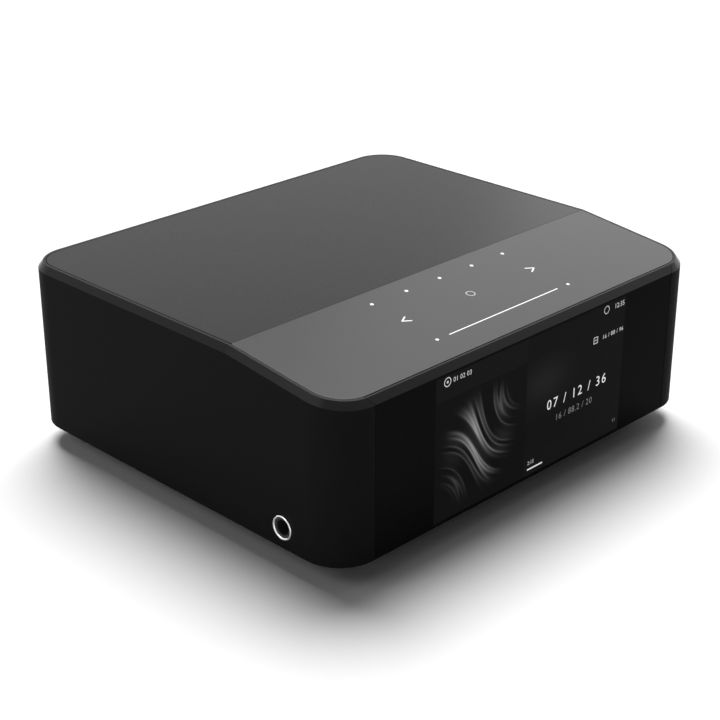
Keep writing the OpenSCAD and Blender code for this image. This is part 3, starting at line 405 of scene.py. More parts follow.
# %% [markdown]
# ## Holes in the walls
#
# The left and right walls have a round hole for the headphone socket, and the rear wall a wide opening
# with rounded corners for the bay of sockets. A boolean would cut them, but it leaves long thin faces
# that spoil the shading. Here rows and columns of the grid frame each hole, the faces inside the frame
# are left out, and a sleeve fills the space: it runs from the frame to the hole's own line, round a soft
# edge and through the wall.

# %% Rows of the walls
ring_low, ring_high = box_mm("headphone_rings")
socket_y, socket_z = (ring_low[1:] + ring_high[1:]) / 2
hole_room = 8
bay_half, bay_low, bay_high, bay_r = half_w - 20, 13.0, top_z - 8, 4.0
low_levels = socket_z + np.arange(-hole_room, hole_room + 1)
mid_levels = [36, 48, 60, 66]
outer_levels, inner_levels = [
    np.concatenate([low_levels, mid_levels, np.linspace(bay_high - bay_r, bay_high + over, 8)])
    for over in (2.5, 1.3)
]
outer_wall = np.stack([0 * outer_levels, outer_levels], -1)
inner_wall = np.stack([0 * inner_levels + wall, inner_levels], -1)
brow = [[0, top_z - chamfer_h - 1]]
loop = np.concatenate([foot, outer_wall, brow, upper, inner_wall[::-1], inner_foot])
outer_row = len(foot) + np.arange(len(outer_levels))
inner_row = len(loop) - len(inner_foot) - 1 - np.arange(len(inner_levels))
print("rows of the skin:", len(loop))

# %% Columns of the walls
straight_start = half_d - corner_r
socket_s = side_start + straight_start + socket_y
bend_s = side_start + straight_start + bend_y
support = 0.4
corner_columns = 29
columns = np.concatenate(
    [
        np.linspace(seam_x, front_run, 4),
        np.linspace(front_run, side_start, corner_columns)[1:],
        side_start + np.array([support, 3]),
        socket_s + np.arange(-hole_room, hole_room + 1),
        bend_s + np.array([-12, -2, -support, 0, support, 2, 60]),
        [rear_arc - support],
        np.linspace(rear_arc, rear_start, corner_columns),
        rear_start + np.linspace(support / 2, 6.5, 8),
        rear_start + np.array([12.5, 32.5, 52.5, 72.5, front_run]),
    ]
)
skin = carried(loop, columns, seam_x)
keep = np.ones((len(loop), len(columns) - 1), bool)
print("columns of the skin:", len(columns))

# %% Hole helpers
soft_edge = 0.3


def rim_of(grid, closed=True):
    """Line round the edge of a grid of points: back along its last row, down its first column, on along
    its first row and up its last column, which an open line leaves out."""
    last_column = grid[1:-1, -1] if closed else grid[:0, 0]
    return np.concatenate([grid[-1, ::-1], grid[-2::-1, 0], grid[0, 1:], last_column])


def open_hole(rows, cols, closed):
    """Takes the faces of a rectangle of the grid out of both walls, and gives the line round it on each.
    The line is open where the middle of the body cuts the hole."""
    for first_row in (outer_row[rows[:-1]], inner_row[rows[:-1]] - 1):
        keep[np.ix_(first_row, cols[:-1])] = False
    return [rim_of(skin[np.ix_(wall_row[rows], cols)], closed) for wall_row in (outer_row, inner_row)]


def sleeve(outer_edge, inner_edge, edge_at, closed):
    """Grid from the outer wall to the inner wall: edge_at(grown, depth) is the hole's line, grown by some
    distance and moved in by some depth. Three narrow rows make its soft outer edge."""
    between = 0.3 * soft_edge
    steps = [(soft_edge, 0), (between, between), (0, soft_edge), (0, wall)]
    rows = np.stack([outer_edge] + [edge_at(*step) for step in steps] + [inner_edge])
    return rows, [grid_faces(len(rows), len(outer_edge), close_columns=closed)]


print("soft edge of the holes:", soft_edge, "mm")

# %% Hole of the side socket
ring_gap = 0.05
socket_hole_r = ring_high[2] - socket_z + ring_gap
first_socket = int(np.argmin(abs(columns - (socket_s - hole_room))))
socket_rows = np.arange(2 * hole_room + 1)
socket_edges = open_hole(socket_rows, first_socket + socket_rows, True)
socket_angle = np.arctan2(socket_edges[0][:, 2] - socket_z, socket_edges[0][:, 1] - socket_y)


def socket_line(grown, depth):
    """Circle in the side wall, with its points at the angles of the frame round it."""
    r = socket_hole_r + grown
    across, up = socket_y + r * np.cos(socket_angle), socket_z + r * np.sin(socket_angle)
    return np.stack([0 * across - half_w + depth, across, up], -1)


socket_sleeve = sleeve(*socket_edges, socket_line, True)
print("side hole", round(2 * socket_hole_r, 2), "mm across")

# %% Opening of the rear bay
nearly_zero = 1e-9
first_bay = int(np.argmin(abs(columns - (rear_start + support / 2))))
bay_edges = open_hole(np.arange(len(outer_levels)), np.arange(first_bay, len(columns)), False)


def bay_line(grown, depth):
    """Rounded rectangle in the rear wall: a point of the frame round it goes straight to the nearest
    side, and near a corner it goes to the arc, at an angle that runs from one side to the other."""
    x, z = bay_edges[0][:, 0], bay_edges[0][:, 2]
    half, low, high, r = bay_half + grown, bay_low - grown, bay_high + grown, bay_r + grown
    middle = (low + high) / 2
    up = np.where(z > middle, 1.0, -1.0)
    rise = abs(z - middle)
    core_x, core_z = half - r, (high - low) / 2 - r
    edge_x = front_run - support / 2
    edge_z = np.where(up > 0, outer_levels[-1] - middle, middle - outer_levels[0])
    share_x = np.clip((-x - core_x) / (edge_x - core_x), 0, 1)
    share_z = np.clip((rise - core_z) / (edge_z - core_z), 0, 1)
    on_edge = share_z > 1 - nearly_zero
    angle = np.where(on_edge, math.pi / 2 - share_x * math.pi / 4, share_z * math.pi / 4)
    px = np.minimum(-x, core_x) + r * np.cos(angle) * (angle < math.pi / 2 - nearly_zero)
    pz = np.minimum(rise, core_z) + r * np.sin(angle)
    return np.stack([-px, 0 * px + half_d - depth, middle + up * pz], -1)


bay_sleeve = sleeve(*bay_edges, bay_line, False)
print("rear bay", 2 * bay_half, "by", bay_high - bay_low, "mm")

# %% [markdown]
# ## Lip and housing
#
# At the foot of the front a thin lip reaches back below the glass and joins the two walls, so that
# nothing of the inside shows from below. It is the plan of the inner wall there, repeated at two heights.
# With the lip the housing is complete: its patches are joined, mirrored and made one piece, which stands
# for the CAD solid.

# %% Lip at the foot of the front
lip_y, lip_t, lip_inset = -half_d + 12.0, 1.0, wall - 0.1
lip_turn = math.asin((-lip_y - straight_start) / (corner_r - lip_inset))
lip_end = front_run + corner_r * (math.pi / 2 - lip_turn)
lip_x, lip_front = outline(np.append(0, np.linspace(front_run, lip_end, 12)), lip_inset)
lip_plan = np.stack([np.append(lip_x, 0), np.append(lip_front, lip_y)], -1)


def stacked(line, heights):
    """A flat line of points repeated at several heights."""
    return np.stack([np.column_stack([line, np.full(len(line), z)]) for z in heights])


lip = stacked(lip_plan, (skirt_z, skirt_z + lip_t)), capped(2, len(lip_plan), closed=False)
print("lip", lip_t, "mm thick,", len(lip_plan), "points in plan")

# %% Housing
rim_margin = 0.05
lean_low, lean_high = 0.3, 0.95


def coat_rim(made):
    """Gives the faces above the chamfer's foot their own finishes: those whose normal leans, with a rise
    between two limits, are the cut chamfer, and the others are the land inside it. The land's coat is
    lighter in tone than the walls': painted light, for the land faces up to the lamp."""
    mesh = made.data
    mesh.materials.append(rim_coat_painted_light)
    mesh.materials.append(chamfer_cut)
    centres, normals = np.zeros((2, len(mesh.polygons) * 3))
    mesh.polygons.foreach_get("center", centres)
    mesh.polygons.foreach_get("normal", normals)
    y, z = centres[1::3] / MM, centres[2::3] / MM
    rise = normals[2::3]
    on_rim = z > roof(y) - chamfer_h + rim_margin
    leaning = (rise > lean_low) & (rise < lean_high)
    mesh.polygons.foreach_set("material_index", (on_rim * (1 + leaning)).astype(np.int32))


wall_patch = skin, [grid_faces(len(loop), len(columns), close_rows=True, keep=keep)]
seam_patch = skin[:, 0], [np.arange(len(loop))[None]]
half_shell = joined(wall_patch, socket_sleeve, bay_sleeve, seam_patch, lip)
housing = piece("housing_skin", mirrored(*half_shell), powder_coat)
coat_rim(housing)
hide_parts("housing")

# %% [markdown]
# ## The two top panels
#
# The rear panel is a coated sheet, and the touch strip in front of it is etched glass. Both lie flush
# with the land, with a hairline gap all round and a thin seam at the bend. A bevelled plate would do, but
# its shading would bend across the large face. So a sheet is its own outline, repeated at a few heights
# and drawn in along a small arc at the upper edge, with a narrow flat row that keeps the large face
# level.

# %% Sheets
panel_t, panel_edge = 1.8, 0.12
square_r, seam_grow = 0.7, 0.14


def sheet(corners, radii, steps=14):
    """A sheet under the bent roof: rows of its outline, drawn in as they rise over a quarter circle, then
    a flat row, with one flat face above and below."""
    corners, radii = np.asarray(corners, float), np.asarray(radii, float)
    inward = -np.sign(corners - corners.mean(0))
    turn = np.linspace(0, math.pi / 2, 5)
    draw_in = np.concatenate([[0], panel_edge * (1 - np.cos(turn)), [2 * panel_edge]])
    drop = np.concatenate([[panel_t], panel_edge * (1 - np.sin(turn)), [0]])
    rows = np.stack([rounded(corners + inward * d, radii - d, steps) for d in draw_in])
    z = roof(rows[..., 1]) - drop[:, None]
    points = np.concatenate([rows, z[..., None]], -1)
    return points, capped(len(rows), rows.shape[1])


def top_sheet(name, node, finish_of, grow, seam_in_front):
    """The sheet of a CAD panel. Its box is grown by grow at the outer sides, whose corners follow the
    body, and by seam_grow at the seam, whose corners are nearly square."""
    (x0, y0, _), (x1, y1, _) = box_mm(node)
    outer_r = corner_r - (half_w - x1 - grow)
    front, rear = (square_r, seam_grow), (outer_r, grow)
    if not seam_in_front:
        front, rear = rear, front
    corners = rectangle(x0 - grow, x1 + grow, y0 - front[1], y1 + rear[1])
    radii = [front[0], front[0], rear[0], rear[0]]
    made = piece(name, sheet(corners, radii), finish_of)
    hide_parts(node)


top_sheet("rear_panel_sheet", "top_panel", panel_coat, 0.2, seam_in_front=True)
top_sheet("touch_glass_sheet", "touch_panel", satin_glass, 0.4, seam_in_front=False)

# %% [markdown]
# ## The front glass
#
# One pane of smoked glass covers the whole front and carries the rim's chamfer along its upper edge. Cut
# from a plain plate it would miss the flared seams, so it uses the same path and the same kind of section
# as the housing: its chamfer runs on from the housing's in one line, and its ends follow the seams a
# hair's breadth away.

# %% Front glass
glass_low, glass_high = box_mm("front_window")
glass_t = glass_high[1] - glass_low[1]
seam_gap, front_set = 0.15, 0.05
glass_section = rounded(
    [
        (glass_t, skirt_z),
        (front_set, skirt_z),
        (front_set, top_z - chamfer_h),
        (chamfer_w, top_z),
        (glass_t, top_z),
    ],
    [0.2, 0.5, 0.5, 0.25, 0.1],
    arc_steps,
)
glass_end = seam_x - seam_gap
glass_columns = np.concatenate([[0, 30, 60, 80], np.linspace(seam_x - seam_reach, glass_end, 12)])
pane = carried(glass_section, glass_columns, glass_end, seam_gap)
pane_patch = pane, [grid_faces(len(glass_section), len(glass_columns), close_rows=True)]
end_patch = pane[:, -1], [np.arange(len(glass_section))[None]]
front_glass = piece("front_glass", mirrored(*joined(pane_patch, end_patch)), smoked_glass)
# The glass's land takes the same lighter rim coat, painted light as on the housing.
coat_rim(front_glass)
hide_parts("front_window")

# %% [markdown]
# ## Screws
#
# The screws that can be seen, at the rear sockets, in the base and in the feet, have pan heads with a
# cross recess. A screw could be cut out of a turned head with a boolean. Here it is a stack of closed
# lines about its axis: the cross at the floor of the recess, the cross at its mouth, circles that fall
# along the dome, and the shaft. The stack is one grid, so the recess has clean edges.

# %% Cross-head screw
arm_length, arm_half_width = 0.62, 0.16
recess_depth, recess_taper = 0.85, 0.85
face_share, dome_drop = 0.7, 0.4


def cross_screw(head, out, head_r, head_h, shaft_r, length, spin=0.0):
    """Screw with a cross recess. head is the middle of the head's face, out the way it faces. The cross
    is the larger of two arms, and an arm's radius is its end or its side, whichever is nearer."""
    arm_end, arm_side = arm_length * head_r, arm_half_width * head_r
    tip, fork, quarter = math.atan2(arm_side, arm_end), math.pi / 4, math.pi / 2
    bends = [(-tip, tip, 3), (tip, fork, 5), (fork, quarter - tip, 5)]
    first = np.concatenate([np.linspace(*bend)[:-1] for bend in bends])
    angle = np.concatenate([first + turn * quarter for turn in range(4)])
    c, s = abs(np.cos(angle)) + nearly_zero, abs(np.sin(angle)) + nearly_zero
    cross = np.maximum(np.minimum(arm_end / c, arm_side / s), np.minimum(arm_end / s, arm_side / c))
    even = np.ones_like(angle)
    floor_h = -recess_depth * head_h
    lines = [(0 * even, floor_h), (recess_taper * cross, floor_h), (cross, 0)]
    for t in np.linspace(0, quarter, 5):
        dome_r = head_r * (face_share + (1 - face_share) * math.sin(t))
        lines.append((dome_r * even, -dome_drop * head_h * (1 - math.cos(t))))
    lines += [(head_r * even, -head_h), (shaft_r * even, -head_h)]
    lines += [(shaft_r * even, -length), (0 * even, -length)]
    out, side = np.asarray(out, float), np.array([1.0, 0, 0])
    ray = np.cos(angle + spin)[:, None] * side + np.sin(angle + spin)[:, None] * np.cross(out, side)
    rows = np.stack([r[:, None] * ray + up * out for r, up in lines]) + np.asarray(head, float)
    return rows, [grid_faces(len(lines), len(angle), close_columns=True)]


zinc_screw = finish("zinc_screw", (0.30, 0.305, 0.31), 0.36, 1.0, grain=2000, rough_vary=0.1)


def screw_set(name, node, screws):
    """One object of several screws that stands for a CAD node."""
    made = piece(name, joined(*screws), zinc_screw)
    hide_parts(node)


sample = cross_screw((0, 0, 0), (0, 0, 1), head_r=2, head_h=1, shaft_r=1, length=5)
print("faces of a screw:", len(sample[1][0]))

# %% Screws of the rear
down, up, rearward = (0, 0, -1), (0, 0, 1), (0, 1, 0)
flange, flange_screw = 27.0, 10.6
xlr_low, xlr_high = box_mm("xlr_shells")
flange_x = (xlr_low[0] + flange / 2, xlr_high[0] - flange / 2)
flange_z = xlr_high[2] - flange / 2
plate_low, plate_high = box_mm("rear_screws")
plate_r = 2.4
plate_x, plate_y, plate_top = plate_high[0] - plate_r, plate_low[1] + plate_r, skirt_z + 5.7
plate_h = plate_top - plate_low[2]
rear_set = []
for x in flange_x:
    for s in (-1, 1):
        head = x + s * flange_screw, plate_high[1], flange_z + s * flange_screw
        rear_set.append(cross_screw(head, rearward, 2.2, 1.0, shaft_r=1.3, length=5.5, spin=s + x))
for x in np.linspace(-plate_x, plate_x, 4):
    head = x, plate_y, plate_top
    rear_set.append(cross_screw(head, up, plate_r, 1.6, shaft_r=1.2, length=plate_h, spin=x))
screw_set("rear_screw_set", "rear_screws", rear_set)

# %% Screws of the underside
base_low, base_high = box_mm("base_screws")
base_r, base_h = 2.8, base_high[2] - base_low[2]
base_x = base_high[0] - base_r
base_set = []
for s in (-1, 1):
    for y in (base_low[1] + base_r, 0.0, base_high[1] - base_r):
        head = s * base_x, y, base_low[2]
        base_set.append(cross_screw(head, down, base_r, 1.2, shaft_r=1.4, length=base_h, spin=s + y))
screw_set("base_screw_set", "base_screws", base_set)
foot_low, foot_high = box_mm("foot_screws")
foot_r, foot_h = 3.6, foot_high[2] - foot_low[2]
foot_x, foot_y = foot_high[:2] - foot_r
foot_set = []
for s in (-1, 1):
    for t in (-1, 1):
        head = s * foot_x, t * foot_y, foot_low[2]
        foot_set.append(cross_screw(head, down, foot_r, 2.4, shaft_r=2.0, length=foot_h, spin=s + 2 * t))
screw_set("foot_screw_set", "foot_screws", foot_set)

# %% [markdown]
# ## Lit signs
#
# The touch strip has small openings in its black print, and lamps below the glass shine through them.
# Behind the front glass the display shows plain figures and bars. Both could be painted into a material,
# but a thin form stays sharp at any distance. So a sign is a round, a ring or a rod with round ends,
# drawn in two coordinates and then laid on its surface: the same forms serve the sloping strip and the
# upright front.

# %% Forms of signs
sign_t = 0.02


def rod(start, end, width, steps=24):
    """A flat rod with round ends between two points, or a round where they are the same: a half circle
    about each of them."""
    start, end = np.asarray(start, float), np.asarray(end, float)
    lean = math.atan2(*(end - start)[::-1])
    count = 2 * steps
    turn = lean + math.pi / 2 + math.pi / count * (2 * np.arange(count) + 1)
    centre = np.where(np.arange(count)[:, None] < steps, start, end)
    line = centre + width / 2 * np.stack([np.cos(turn), np.sin(turn)], -1)
    return stacked(line, (0, sign_t)), capped(2, count)


def band(inner, outer):
    """A flat band between two closed lines of as many points, each at both heights of a sign."""
    rows = np.concatenate([stacked(inner, (sign_t, 0)), stacked(outer, (0, sign_t))])
    return rows, [grid_faces(len(rows), len(inner), close_rows=True, close_columns=True)]


def ring(centre, radius, stroke, steps=40):
    """A flat ring: the band between two circles about the centre."""
    turn = np.linspace(0, 2 * math.pi, steps, endpoint=False)
    circle = np.stack([np.cos(turn), np.sin(turn)], -1)
    return band(centre + (radius - stroke) * circle, centre + radius * circle)


print("signs stand", sign_t, "mm proud of the glass")

# %% Places and light of signs


def on_slope(points):
    """Lays (across, down, up) on the sloping touch strip; down is measured from the bend."""
    across, down_by, up_by = np.moveaxis(points, -1, 0)
    fall = math.atan(slope)
    y = bend_y - down_by * math.cos(fall) - up_by * math.sin(fall)
    return np.stack([across, y, top_z - down_by * math.sin(fall) + up_by * math.cos(fall)], -1)


def on_front(points):
    """Lays (across, height, up) on the upright front glass."""
    across, height, up_by = np.moveaxis(points, -1, 0)
    return np.stack([across, front_set - half_d - up_by, height], -1)


def signs(name, place, forms, finish_of):
    """One object of several flat forms, laid on a surface by place."""
    points, faces = joined(*forms)
    return piece(name, (place(points), faces), finish_of)


def glowing(made, strength):
    """Adds an even white light to a finish, of a strength that is a number or a socket."""
    shader = made.node_tree.nodes["Principled BSDF"].inputs
    feed(made.node_tree, (1, 1, 1, 1), shader["Emission Color"])
    feed(made.node_tree, strength, shader["Emission Strength"])
    return made


def lit(name, tone, strength):
    """Finish of a sign: a pale print with light behind it."""
    return glowing(finish(name, grey(tone), 0.4, grain=4000, vary=0.05), strength)


print("the strip falls by", round(math.degrees(math.atan(slope)), 1), "degrees")

# %% Signs of the touch strip
preset_row, play_row, level_row = 9.0, 26.2, 44.8
preset_x, level_end_x, arrow_x, bar_x = np.linspace(-40, 40, 5), 40.4, 40.5, 33.2
arrow_arm = np.array([3.4, 1.9])
touch_forms = [rod((x, preset_row), (x, preset_row), 1.6) for x in preset_x]
touch_forms += [rod((x, level_row), (x, level_row), 1.5) for x in (-level_end_x, level_end_x)]
for side in (-1, 1):
    tip = np.array([side * arrow_x, play_row])
    touch_forms += [rod(tip, tip - arrow_arm * [side, turn], 0.65) for turn in (-1, 1)]
touch_forms.append(rod((-bar_x, level_row), (bar_x, level_row), 0.52))
signs("touch_signs", on_slope, touch_forms, lit("lit_white", 0.4, 0.75))
signs("play_sign", on_slope, [ring((0, play_row), 2.1, 0.5)], lit("lit_dim", 0.2, 0.3))

# %% [markdown]
# ## The display
#
# The panel behind the glass is never quite black: it glows a little more than the glass round it, most in
# a soft patch of its right half and along its foot. On the left it shows folded grey silk. That could be
# an image, but here it is worked out as a height from a few sine waves and shaded by its own slope. The
# brightness is kept at the points of a fine grid, and the material turns it into light.

# %% Brightness of the display
screen_low, screen_high = np.array([-59.0, 11.0]), np.array([59.0, 73.0])
screen_columns, screen_rows = 320, 170
screen_x, screen_z = np.meshgrid(
    np.linspace(screen_low[0], screen_high[0], screen_columns),
    np.linspace(screen_low[1], screen_high[1], screen_rows),
)
cover_right, cover_top = -4.7, 63.0
cover_middle, cover_half = (-33.0, 38.0), (20.0, 22.0)


def silk(x, z):
    """Brightness of the folded silk: slanting waves, bent by slower ones, lit from the upper left by
    their slope and fading out round the middle of the picture."""
    u, v = (x - cover_middle[0]) / cover_half[0], (z - cover_middle[1]) / cover_half[1]
    wave = 3.4 * u + 2.1 * v + 1.2 * np.sin(1.9 * v + 0.4) + 0.7 * np.sin(2.7 * u - 1.4 * v)
    relief = np.sin(wave) + 0.32 * np.sin(2.6 * wave + 1.5 * v) + 0.12 * np.sin(6.1 * wave - 2.0 * u)
    fall_v, fall_u = np.gradient(relief, v[:, 0], u[0])
    lit_up = (0.55 * fall_u - 0.45 * fall_v + 1.1) / np.sqrt(fall_u**2 + fall_v**2 + 2.2)
    lit_up = np.clip(lit_up, 0, 1.4)
    lean_u, lean_v = 0.94 * u + 0.34 * v, 0.94 * v - 0.34 * u
    window = np.exp(-(((lean_u / 0.85) ** 2 + (lean_v / 0.72) ** 2) ** 2))
    return window * (0.03 * lit_up + 0.42 * lit_up**4)


def hump(distance, reach):
    """A bell-shaped rise from 0 to 1, centred where the distance is 0."""
    return np.exp(-((distance / reach) ** 2))


foot_glow = hump(screen_z - screen_low[1], 12)
patch_glow = hump(screen_x - 7, 14) * hump(screen_z - 51, 8.5)
page_glow = 0.0028 + 0.0030 * foot_glow + 0.0072 * patch_glow
cover_glow = 0.0018 + 0.0022 * foot_glow + silk(screen_x, screen_z)
header_glow = np.where(screen_x > cover_right, 0.0028, 0.0042)
glow = np.where(screen_x < cover_right, cover_glow, page_glow)
glow = np.where(screen_z > cover_top, header_glow, glow)
print("display glows from", glow.min().round(4), "to", glow.max().round(4))

# %% Display picture
picture_t = 0.01
front_points = np.stack([screen_x, screen_z, 0 * screen_x + picture_t], -1)
rim = rim_of(front_points)
edge_points = np.stack([rim, rim * [1, 1, 0]])
back_face = len(rim) + np.arange(len(rim))[None]
picture_forms = [
    (front_points, [grid_faces(screen_rows, screen_columns)]),
    (edge_points, [grid_faces(2, len(rim), close_columns=True), back_face]),
]
lit_picture = finish("lit_picture", grey(0.006), 0.12, gloss=0.008, grain=900, vary=0.1, bump=0)
kept_glow = add_node(lit_picture.node_tree, "Attribute")
kept_glow.attribute_name = "glow"
glowing(lit_picture, kept_glow.outputs["Fac"])
picture = signs("display_picture", on_front, picture_forms, lit_picture)
places = np.zeros(len(picture.data.vertices) * 3)
picture.data.vertices.foreach_get("co", places)
share = (places.reshape(-1, 3)[:, [0, 2]] / MM - screen_low) / (screen_high - screen_low)
column, row = np.rint(share * [screen_columns - 1, screen_rows - 1]).astype(int).T
picture.data.attributes.new("glow", "FLOAT", "POINT").data.foreach_set("value", glow[row, column])

# %% [markdown]
# ## Figures on the display
#
# The display shows lines of plain numbers, a clock, a few marks and a bar for the time that has passed.
# Digits could be drawn as outlines by hand, but Blender's own font already has them: a text is turned
# into a mesh, its points become an array, and from there it is laid on the glass as any other sign.

# %% Figures
digit_curve_steps, raw_depth = 3, 0.1


def figures(text, size, left=None, right=None, base=0.0, spacing=1.0):
    """Plain figures as a thin closed patch: size is the height of a digit, and either end can be pinned.
    The points are scaled and moved as one array, and the two faces are set to the thickness of a sign."""
    curve = bpy.data.curves.new(text, "FONT")
    curve.body = text
    curve.resolution_u = digit_curve_steps
    curve.extrude = raw_depth
    curve.space_character = spacing
    holder = bpy.data.objects.new(text, curve)
    mesh = bpy.data.meshes.new_from_object(holder)
    mesh.calc_loop_triangles()
    points = np.zeros(len(mesh.vertices) * 3)
    mesh.vertices.foreach_get("co", points)
    triangles = np.zeros(len(mesh.loop_triangles) * 3, np.int32)
    mesh.loop_triangles.foreach_get("vertices", triangles)
    bpy.data.objects.remove(holder)
    bpy.data.curves.remove(curve)
    bpy.data.meshes.remove(mesh)
    points = points.reshape(-1, 3)
    points *= size / np.ptp(points[:, 1])
    points[:, 0] += left - points[:, 0].min() if right is None else right - points[:, 0].max()
    points[:, 1] += base - points[:, 1].min()
    points[:, 2] = np.where(points[:, 2] > 0, sign_t, 0)
    return points, [triangles.reshape(-1, 3)]


time_bar = rod((-2.0, 13.6), (7.2, 13.6), 0.7)
title = [figures("07 / 12 / 36", 4.4, left=8.9, base=36.8, spacing=1.3), time_bar]
signs("display_title", on_front, title, lit("lit_title", 0.2, 0.62))

# %% Small figures and marks
source_mark, reload_mark, file_mark = (-52.6, 70.3), (45.9, 70.4), np.array([39.5, 58.6])
square, file_half, thin = np.array(rectangle(-1, 1, -1, 1)), np.array([1.25, 1.35]), 0.35
icons = [
    ring(source_mark, 2.0, 0.4),
    rod(source_mark, source_mark, 1.1),
    ring(reload_mark, 1.8, 0.3),
    figures("01 02 03", 2.0, left=-49.3, base=69.2, spacing=1.05),
    figures("12:35", 2.2, right=58.0, base=69.3),
    figures("16 / 88 / 96", 1.9, right=58.4, base=57.6, spacing=1.12),
    figures("2:15", 1.7, left=-2.2, base=15.7),
]
file_lines = [file_mark + square * (file_half + grow) for grow in (-thin / 2, thin / 2)]
icons.append(band(*file_lines))
icons.append(rod(file_mark - (0.6, 0), file_mark + (0.6, 0), thin, 6))
signs("display_icons", on_front, icons, lit("lit_soft", 0.2, 0.42))
dim_signs = [figures("16 / 88.2 / 20", 2.8, left=15.5, base=30.2, spacing=1.12)]
dim_signs += [rod((x, 15.4), (x, 16.6), 0.4) for x in (55.4, 56.6)]
signs("display_dim_signs", on_front, dim_signs, lit("lit_grey", 0.02, 0.1))

# %% [markdown]
# ## Values that depend on the place or the ray
#
# The cores of the phono sockets have a colour each, a metal socket is dark inside, and the floor should
# be lighter to the eye than to the lamps. A material for each case would do, but one material can also
# ask where it is, or which kind of ray meets it, and work out its tone from that with a few nodes.

# %% Value helpers


def worked_out(tree, operation, first, second):
    """Result of an operation on two numbers or sockets."""
    node = add_node(tree, "Math")
    node.operation = operation
    feed(tree, first, node.inputs[0])
    feed(tree, second, node.inputs[1])
    return node.outputs["Value"]


def object_place(made, axis):
    """Socket with the Object coordinate along an axis, in metres."""
    place = made.node_tree.nodes["Texture Coordinate"].outputs["Object"]
    return add_node(made.node_tree, "SeparateXYZ", Vector=place).outputs[axis]


def multiply_tone(made, tint, share=1.0):
    """Multiplies the base tone of a finish with a tint, by a share from 0 to 1."""
    tone = made.node_tree.nodes["Principled BSDF"].inputs["Base Color"]
    product = mixed(made.node_tree, share, tone.links[0].from_socket, tint, "MULTIPLY")
    feed(made.node_tree, product, tone)


def seen_ray(tree):
    """1 on a ray that shows a surface to the camera, also by a mirror or through glass, and 0 on one that
    only carries light: the largest of the three kinds of ray."""
    ray = add_node(tree, "LightPath").outputs
    by_glass = worked_out(tree, "MAXIMUM", ray["Is Glossy Ray"], ray["Is Transmission Ray"])
    return worked_out(tree, "MAXIMUM", ray["Is Camera Ray"], by_glass)


print("finishes so far:", len(bpy.data.materials))

# %% [markdown]
# ## Finishes of the remaining parts
#
# The rear sockets, the feet and the boards inside keep their CAD shape and only need a finish. Moulded
# plastic is matt and slightly uneven, plated parts are metal with a trace of streaks, a board shows the
# weave of its cloth, and a winding its layers of wire. All of them come from the one helper, with other
# numbers.

# %% Plastics, boards and metals
black_plastic = finish("black_plastic", grey(0.016), 0.45, gloss=0.3, grain=1800, bump=0.15)
socket_black = finish("socket_black", grey(0.022), 0.5, gloss=0.2, grain=1800, vary=0.2, bump=0.1)
rubber = finish("rubber", grey(0.014), 0.8, gloss=0.2, grain=1500, vary=0.2, bump=0.3)
ivory_plastic = finish("ivory_plastic", (0.70, 0.68, 0.62), 0.5, grain=900)
ferrite = finish("ferrite", (0.035, 0.033, 0.032), 0.75, grain=2500, vary=0.25, bump=0.3)
board_weave, sheet_streaks, wire_layers, drawn_fins = (6, 1, 1), (1, 8, 1), (1, 1, 12), (1, 1, 6)
green = (0.012, 0.085, 0.045)
circuit_board = finish("circuit_board", green, 0.35, grain=900, vary=0.25, squeeze=board_weave)
streaked = {"metal": 1.0, "grain": 500, "rough_vary": 0.1, "squeeze": sheet_streaks}
plated_sheet = finish("plated_sheet", (0.62, 0.63, 0.64), 0.32, **streaked)
gold_plate = finish("gold_plate", (0.78, 0.56, 0.22), 0.24, 1.0, grain=1500, rough_vary=0.08)
ring_sheen = {"vary": 0.02, "rough_vary": 0.04, "bump": 0}
polished_ring = finish("polished_ring", (0.93, 0.93, 0.94), 0.1, 1.0, grain=700, **ring_sheen)
anodised = finish("anodised", (0.45, 0.46, 0.47), 0.4, 1.0, grain=900, squeeze=drawn_fins)
dark_zinc = finish("dark_zinc", (0.05, 0.05, 0.052), 0.42, 0.6, grain=1600, bump=0.1)
copper = (0.55, 0.21, 0.09)
copper_winding = finish("copper_winding", copper, 0.35, 0.9, grain=1400, bump=0.3, squeeze=wire_layers)
print("finishes so far:", len(bpy.data.materials))

# %% Coloured cores of the phono sockets
core_plastic = finish("core_plastic", (0.9, 0.9, 0.9), 0.45, grain=900, vary=0.06)
amber, black, ivory, red = (0.62, 0.24, 0.03), (0.03, 0.03, 0.032), (0.78, 0.77, 0.72), (0.42, 0.02, 0.02)
core_colours = [amber, black, ivory, red]
core_low, core_high = box_mm("phono_cores")
core_x = object_place(core_plastic, "X")
core_ends = {"From_Min": core_low[0] * MM, "From_Max": core_high[0] * MM}
core_span = add_node(core_plastic.node_tree, "MapRange", Value=core_x, **core_ends)
core_tones = add_node(core_plastic.node_tree, "ValToRGB", Fac=core_span.outputs["Result"])
core_tones.color_ramp.interpolation = "CONSTANT"
stops = core_tones.color_ramp.elements
for number, colour in enumerate(core_colours):
    band_start = number / len(core_colours)
    stop = stops[number] if number < len(stops) else stops.new(band_start)
    stop.position = band_start
    stop.color = (*colour, 1)
multiply_tone(core_plastic, core_tones.outputs["Color"])
print("colours of the phono cores:", len(stops))

# %% Metal face of the network socket
shield_depth = 0.4
inside_tint = (0.03, 0.03, 0.03, 1)
shielded = finish("shielded_socket", (0.55, 0.56, 0.57), 0.34, **streaked)
shield_tree = shielded.node_tree
shield_y = box_mm("network_socket")[1][1] - shield_depth
on_face = worked_out(shield_tree, "GREATER_THAN", object_place(shielded, "Y"), shield_y * MM)
feed(shield_tree, on_face, shield_tree.nodes["Principled BSDF"].inputs["Metallic"])
multiply_tone(shielded, inside_tint, worked_out(shield_tree, "SUBTRACT", 1, on_face))
print("metal from", round(shield_y, 2), "mm to the rear")

